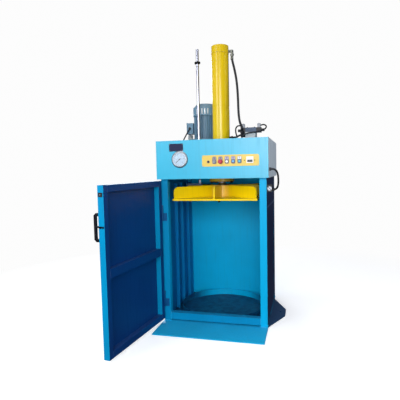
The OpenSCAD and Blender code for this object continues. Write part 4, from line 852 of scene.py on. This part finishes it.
# Pull handle: a moulded bridge handle in black satin enamel, thick as a thumb, with sloped ends.
# Its two feet and the strut in the middle stand on the skin, screwed on from behind.
bar_x, bar_wide, bar_front, bar_back, skin_face = 796, 18, -85.5, -68.8, -41
legs = ((813, 834), (906, 918), (982, 1003))
low_slope, high_slope, slope_rise, slope_run = 828.5, 987.5, 15, 44.7
bottom, top = legs[0][0], legs[2][1]
handle = start_block((bar_x, (bar_front + bar_back) / 2, (bottom + top) / 2),
                     (bar_wide, bar_back - bar_front, top - bottom))
bpy.ops.object.mode_set(mode="EDIT")
for z in (legs[0][1], *legs[1], legs[2][0]):
    bpy.ops.mesh.select_all(action="SELECT")
    bpy.ops.mesh.bisect(plane_co=(0, 0, z / 1000), plane_no=(0, 0, 1))
bpy.ops.object.mode_set(mode="OBJECT")
choose(handle, "FACE", lambda face: face.normal.y > 0.9
       and any(low < face.center.z * 1000 < high for low, high in legs))
bpy.ops.mesh.extrude_region_move(
    TRANSFORM_OT_translate={"value": (0, (skin_face - bar_back) / 1000, 0)})
for z, way in ((low_slope, -1), (high_slope, 1)):
    bpy.ops.mesh.select_all(action="SELECT")
    bpy.ops.mesh.bisect(plane_co=(0, bar_front / 1000, z / 1000),
                        plane_no=(0, -slope_rise, slope_run * way), clear_outer=True, use_fill=True)
bpy.ops.mesh.select_all(action="SELECT")
bpy.ops.mesh.normals_make_consistent(inside=False)
bpy.ops.object.mode_set(mode="OBJECT")
round_edges(handle, 5, 3)
handle.matrix_world = (Matrix.Translation(at_door(0, 0, 0) / 1000)
                       @ Matrix.Rotation(-swing, 4, "Z"))
bridge_handle = settle(handle, "bridge_handle", "door",
                       sprayed_enamel("black_satin_enamel", "#0b0a12", 0.45, dust=0.03))
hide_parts("door_handle")

# Nylon ball of the edge catch: grey, sprung, pressed into the dark catch body near the top of the
# free edge. It rolls over the strike when the door shuts.
catch_face = at_door(819, 0, 0) / 1000
paint_faces("edge_catch", moulded_plastic("grey_catch_nylon", "#7d828a", 0.4),
            lambda at, out: (at - catch_face).dot(edgeward) > 0.0004)

# Gauge: deep pressed case on a flange with three screws, white printed dial under a flat glass.
# The scale runs over 270 degrees, with plain numbers.
gauge = (-251, 1352)
dial_face, ink_face, glass_face, flange_face = -455.1, -455.7, -460.7, -453.2
scale_start, scale_turn, scale_radius, number_radius = 225, 270, 46, 30


def printed_enamel(name, code, rough):
    """Stove-enamelled sheet or screen-printed ink: even, slightly matt, a trace of age."""
    mat, tree, place = new_tree(name)
    # ageing blotches of 20 mm
    age = add_node(tree, "ShaderNodeTexNoise", {"Vector": place, "Scale": 50.0, "Detail": 3.0})
    body = linear(code)
    tint = add_node(tree, "ShaderNodeMix", {
        "Factor": age.outputs["Fac"], "A": toned(body, 0.92), "B": toned(body, 1.06)},
        data_type="RGBA")
    sheen = add_node(tree, "ShaderNodeMapRange", {
        "Value": age.outputs["Fac"], "To Min": rough * 0.9, "To Max": min(rough * 1.2, 1.0)})
    film = add_node(tree, "ShaderNodeBsdfPrincipled", {
        "Base Color": tint.outputs["Result"], "Roughness": sheen.outputs["Result"]})
    add_node(tree, "ShaderNodeOutputMaterial", {"Surface": film.outputs[0]})
    return mat


def lettering(words, size, middle, thick):
    """Plain digits as thin raised ink, upright and facing -Y; size and place in mm."""
    figure = bpy.data.curves.new("figure", "FONT")
    figure.body = words
    figure.size = size / 1000
    figure.align_x = "CENTER"
    figure.align_y = "CENTER"
    figure.extrude = thick / 2000
    figure.resolution_u = 3
    text = bpy.data.objects.new("figure", figure)
    bpy.context.scene.collection.objects.link(text)
    pick(text)
    bpy.ops.object.convert(target="MESH")
    text = bpy.context.object
    text.matrix_world = (Matrix.Translation(Vector(middle) / 1000)
                         @ Matrix.Rotation(math.radians(90), 4, "X"))
    bpy.ops.object.transform_apply(location=True, rotation=True, scale=True)
    return text


def on_gauge(radius, turn, face):
    """A point on the gauge in mm, that far out from its middle and that far forward."""
    x, z = around(gauge, radius, turn)
    return x, face, z


dial_white = printed_enamel("white_dial_enamel", "#a6c2d9", 0.45)
dial_ink = printed_enamel("black_dial_ink", "#23262b", 0.5)
paint(drawn_steel("satin_gauge_bezel", "#cfd5dc", 0.4), "gauge_case")
paint(printed_enamel("black_needle_lacquer", "#15161a", 0.35), "gauge_needle")
dial = start_cylinder(72, 52.5, 0.8, on_gauge(0, 0, dial_face), upright=False)
settle(step_in(dial, looks_front, (4, 0), (0.6, 0.2)), "gauge_dial", "frame", dial_white)
marks = []
for k in range(51):
    turn = scale_start - scale_turn * k / 50
    long = 8.5 if k % 10 == 0 else (6.0 if k % 5 == 0 else 4.0)
    wide = 1.6 if k % 10 == 0 else 0.8
    mark = step_in(start_block((0, 0, 0), (long, 0.4, wide)), looks_front, (wide * 0.12, 0))
    spot = Vector(on_gauge(scale_radius - long / 2, turn, ink_face)) / 1000
    mark.matrix_world = Matrix.Translation(spot) @ Matrix.Rotation(-math.radians(turn), 4, "Y")
    marks.append(mark)
for k in range(6):
    spot = on_gauge(number_radius, scale_start - scale_turn * k / 5, ink_face)
    marks.append(lettering(str(k * 5), 9.5, spot, 0.4))
settle(join(marks), "gauge_scale", "frame", dial_ink)


def window_glass(name):
    """Flat instrument glass: clear, with finger smears that catch the light."""
    mat, tree, place = new_tree(name)
    # smears of 25 mm
    smear = add_node(tree, "ShaderNodeTexNoise", {"Vector": place, "Scale": 40.0, "Detail": 4.0})
    haze = add_node(tree, "ShaderNodeMapRange", {
        "Value": smear.outputs["Fac"], "To Min": 0.03, "To Max": 0.25})
    film = add_node(tree, "ShaderNodeMapRange", {
        "Value": smear.outputs["Fac"], "To Min": 0.06, "To Max": 0.14})
    pane = add_node(tree, "ShaderNodeBsdfPrincipled", {
        "Base Color": linear("#f2f6f8"), "Roughness": haze.outputs["Result"], "IOR": 1.5,
        "Alpha": film.outputs["Result"]})
    add_node(tree, "ShaderNodeOutputMaterial", {"Surface": pane.outputs[0]})
    return mat


pane = start_cylinder(72, 52.7, 1, on_gauge(0, 0, glass_face), upright=False)
settle(step_in(pane, looks_front, (1.2, 0.2)), "gauge_glass", "frame",
       window_glass("instrument_glass"))
flange = [(on_gauge(61, turn, flange_face), to_front) for turn in (90, 210, 330)]
settle(set_out(round_head(3.2, 2.4, 1.0), flange), "gauge_screws", "frame", zinc_steel)

# Controls: pale laminate plate on the head with six 22 mm switches in steel bezels and a counter.
# Five of the switches clamp a moulded holder, which carries a small plate with plain marks for
# words over the switch.
plate_face, switch_z, holder_hole = -452, 1327, 12.5
legends = (("grey_legend", "#8f8994", (32, 81)), ("lilac_legend", "#a9a4c4", (131, 181)),
           ("white_legend", "#e2e4ec", (230,)))
paint(printed_enamel("pale_yellow_laminate", "#d6ba58", 0.36), "control_plate")
paint(drawn_steel("satin_switch_bezel", "#77747f", 0.5), "switch_bezels")
paint(drawn_steel("dark_lock_brass", "#3a2c14", 0.45), "key_switch")
for name, code, rough, cap in (("grey", "#8b9096", 0.4, "selector_knob"),
                               ("red", "#b02a44", 0.35, "stop_button"),
                               ("white", "#eff1f0", 0.3, "button_white"),
                               ("sky_blue", "#5f9fd8", 0.4, "button_sky"),
                               ("cyan", "#4aaed0", 0.4, "button_cyan")):
    paint(moulded_plastic(name + "_moulded_abs", code, rough), cap)
plate_screws = [((x, plate_face, z), to_front) for x in (-59, 372) for z in (1298, 1370)]
settle(set_out(round_head(3.4, 2.4, 1.0), plate_screws), "control_plate_screws", "frame",
       zinc_steel)
holders, bars, bores = [], [], []
for name, code, places in legends:
    plates = []
    for x in places:
        holders.append(flat_plate((x - 17, plate_face - 0.8, 1309), (x + 17, plate_face, 1367),
                                  11, 1.5, 0.25))
        plates.append(flat_plate((x - 13.5, plate_face - 1.2, 1343.5),
                                 (x + 13.5, plate_face - 0.4, 1363), 2, 1.2, 0.25))
        for half, z in ((8, 1355.5), (5, 1348.5)):
            bars.append(flat_plate((x - half, plate_face - 1.3, z),
                                   (x + half, plate_face - 0.9, z + 3), 0.6, 0.3, 0.05))
        bores.append(((x, plate_face - 0.4, switch_z), to_front))
    settle(join(plates), name + "_plates", "frame", printed_enamel(name + "_laminate", code, 0.45))
legend_holders = join(holders)
drill = set_out(start_cylinder(40, holder_hole, 10), bores)
punch = legend_holders.modifiers.new("punched_hole", "BOOLEAN")
punch.operation = "DIFFERENCE"
punch.object = drill
pick(legend_holders)
bpy.ops.object.modifier_apply(modifier="punched_hole")
bpy.data.objects.remove(drill)
settle(legend_holders, "legend_holders", "frame",
       moulded_plastic("slate_moulded_abs", "#77737f", 0.45))
settle(join(bars), "legend_marks", "frame", dial_ink)

# Counter: ivory moulded case with a window over five printed number drums.
# The window is in the lower half of the case, and a black screw on each side holds the clip behind
# the plate.
window_face = -457
paint(moulded_plastic("ivory_counter_case", "#e6e6ea", 0.4), "counter")
drums = flat_plate((290.5, window_face - 0.5, 1318.5), (330.5, window_face, 1335.5), 1, 0.8, 0.1)
settle(drums, "counter_drums", "frame", black_nylon)
digits = [lettering(figure, 8, (295.5 + 7.5 * k, window_face - 0.6, switch_z), 0.3)
          for k, figure in enumerate("00427")]
settle(join(digits), "counter_digits", "frame", dial_white)
counter_screws = [((x, plate_face, 1332), to_front) for x in (269, 347)]
settle(set_out(round_head(3.6, 2.6, 1.2), counter_screws), "counter_screws", "frame", black_oxide)

# Door switch: black moulded body on the right post with a white roller that the door's edge meets.
# Its cable loops down from the head.
roller_back, roller_face = -0.3955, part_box("interlock")[0][1]  # m
paint(black_nylon, "interlock")
paint_faces("interlock", moulded_plastic("white_nylon", "#c3c5cd", 0.45),
            lambda at, out: at.y < roller_back)
paint_faces("interlock", moulded_plastic("grimy_nylon", "#62646c", 0.6),
            lambda at, out: at.y < roller_back and 0.0004 < at.y - roller_face < 0.0025)
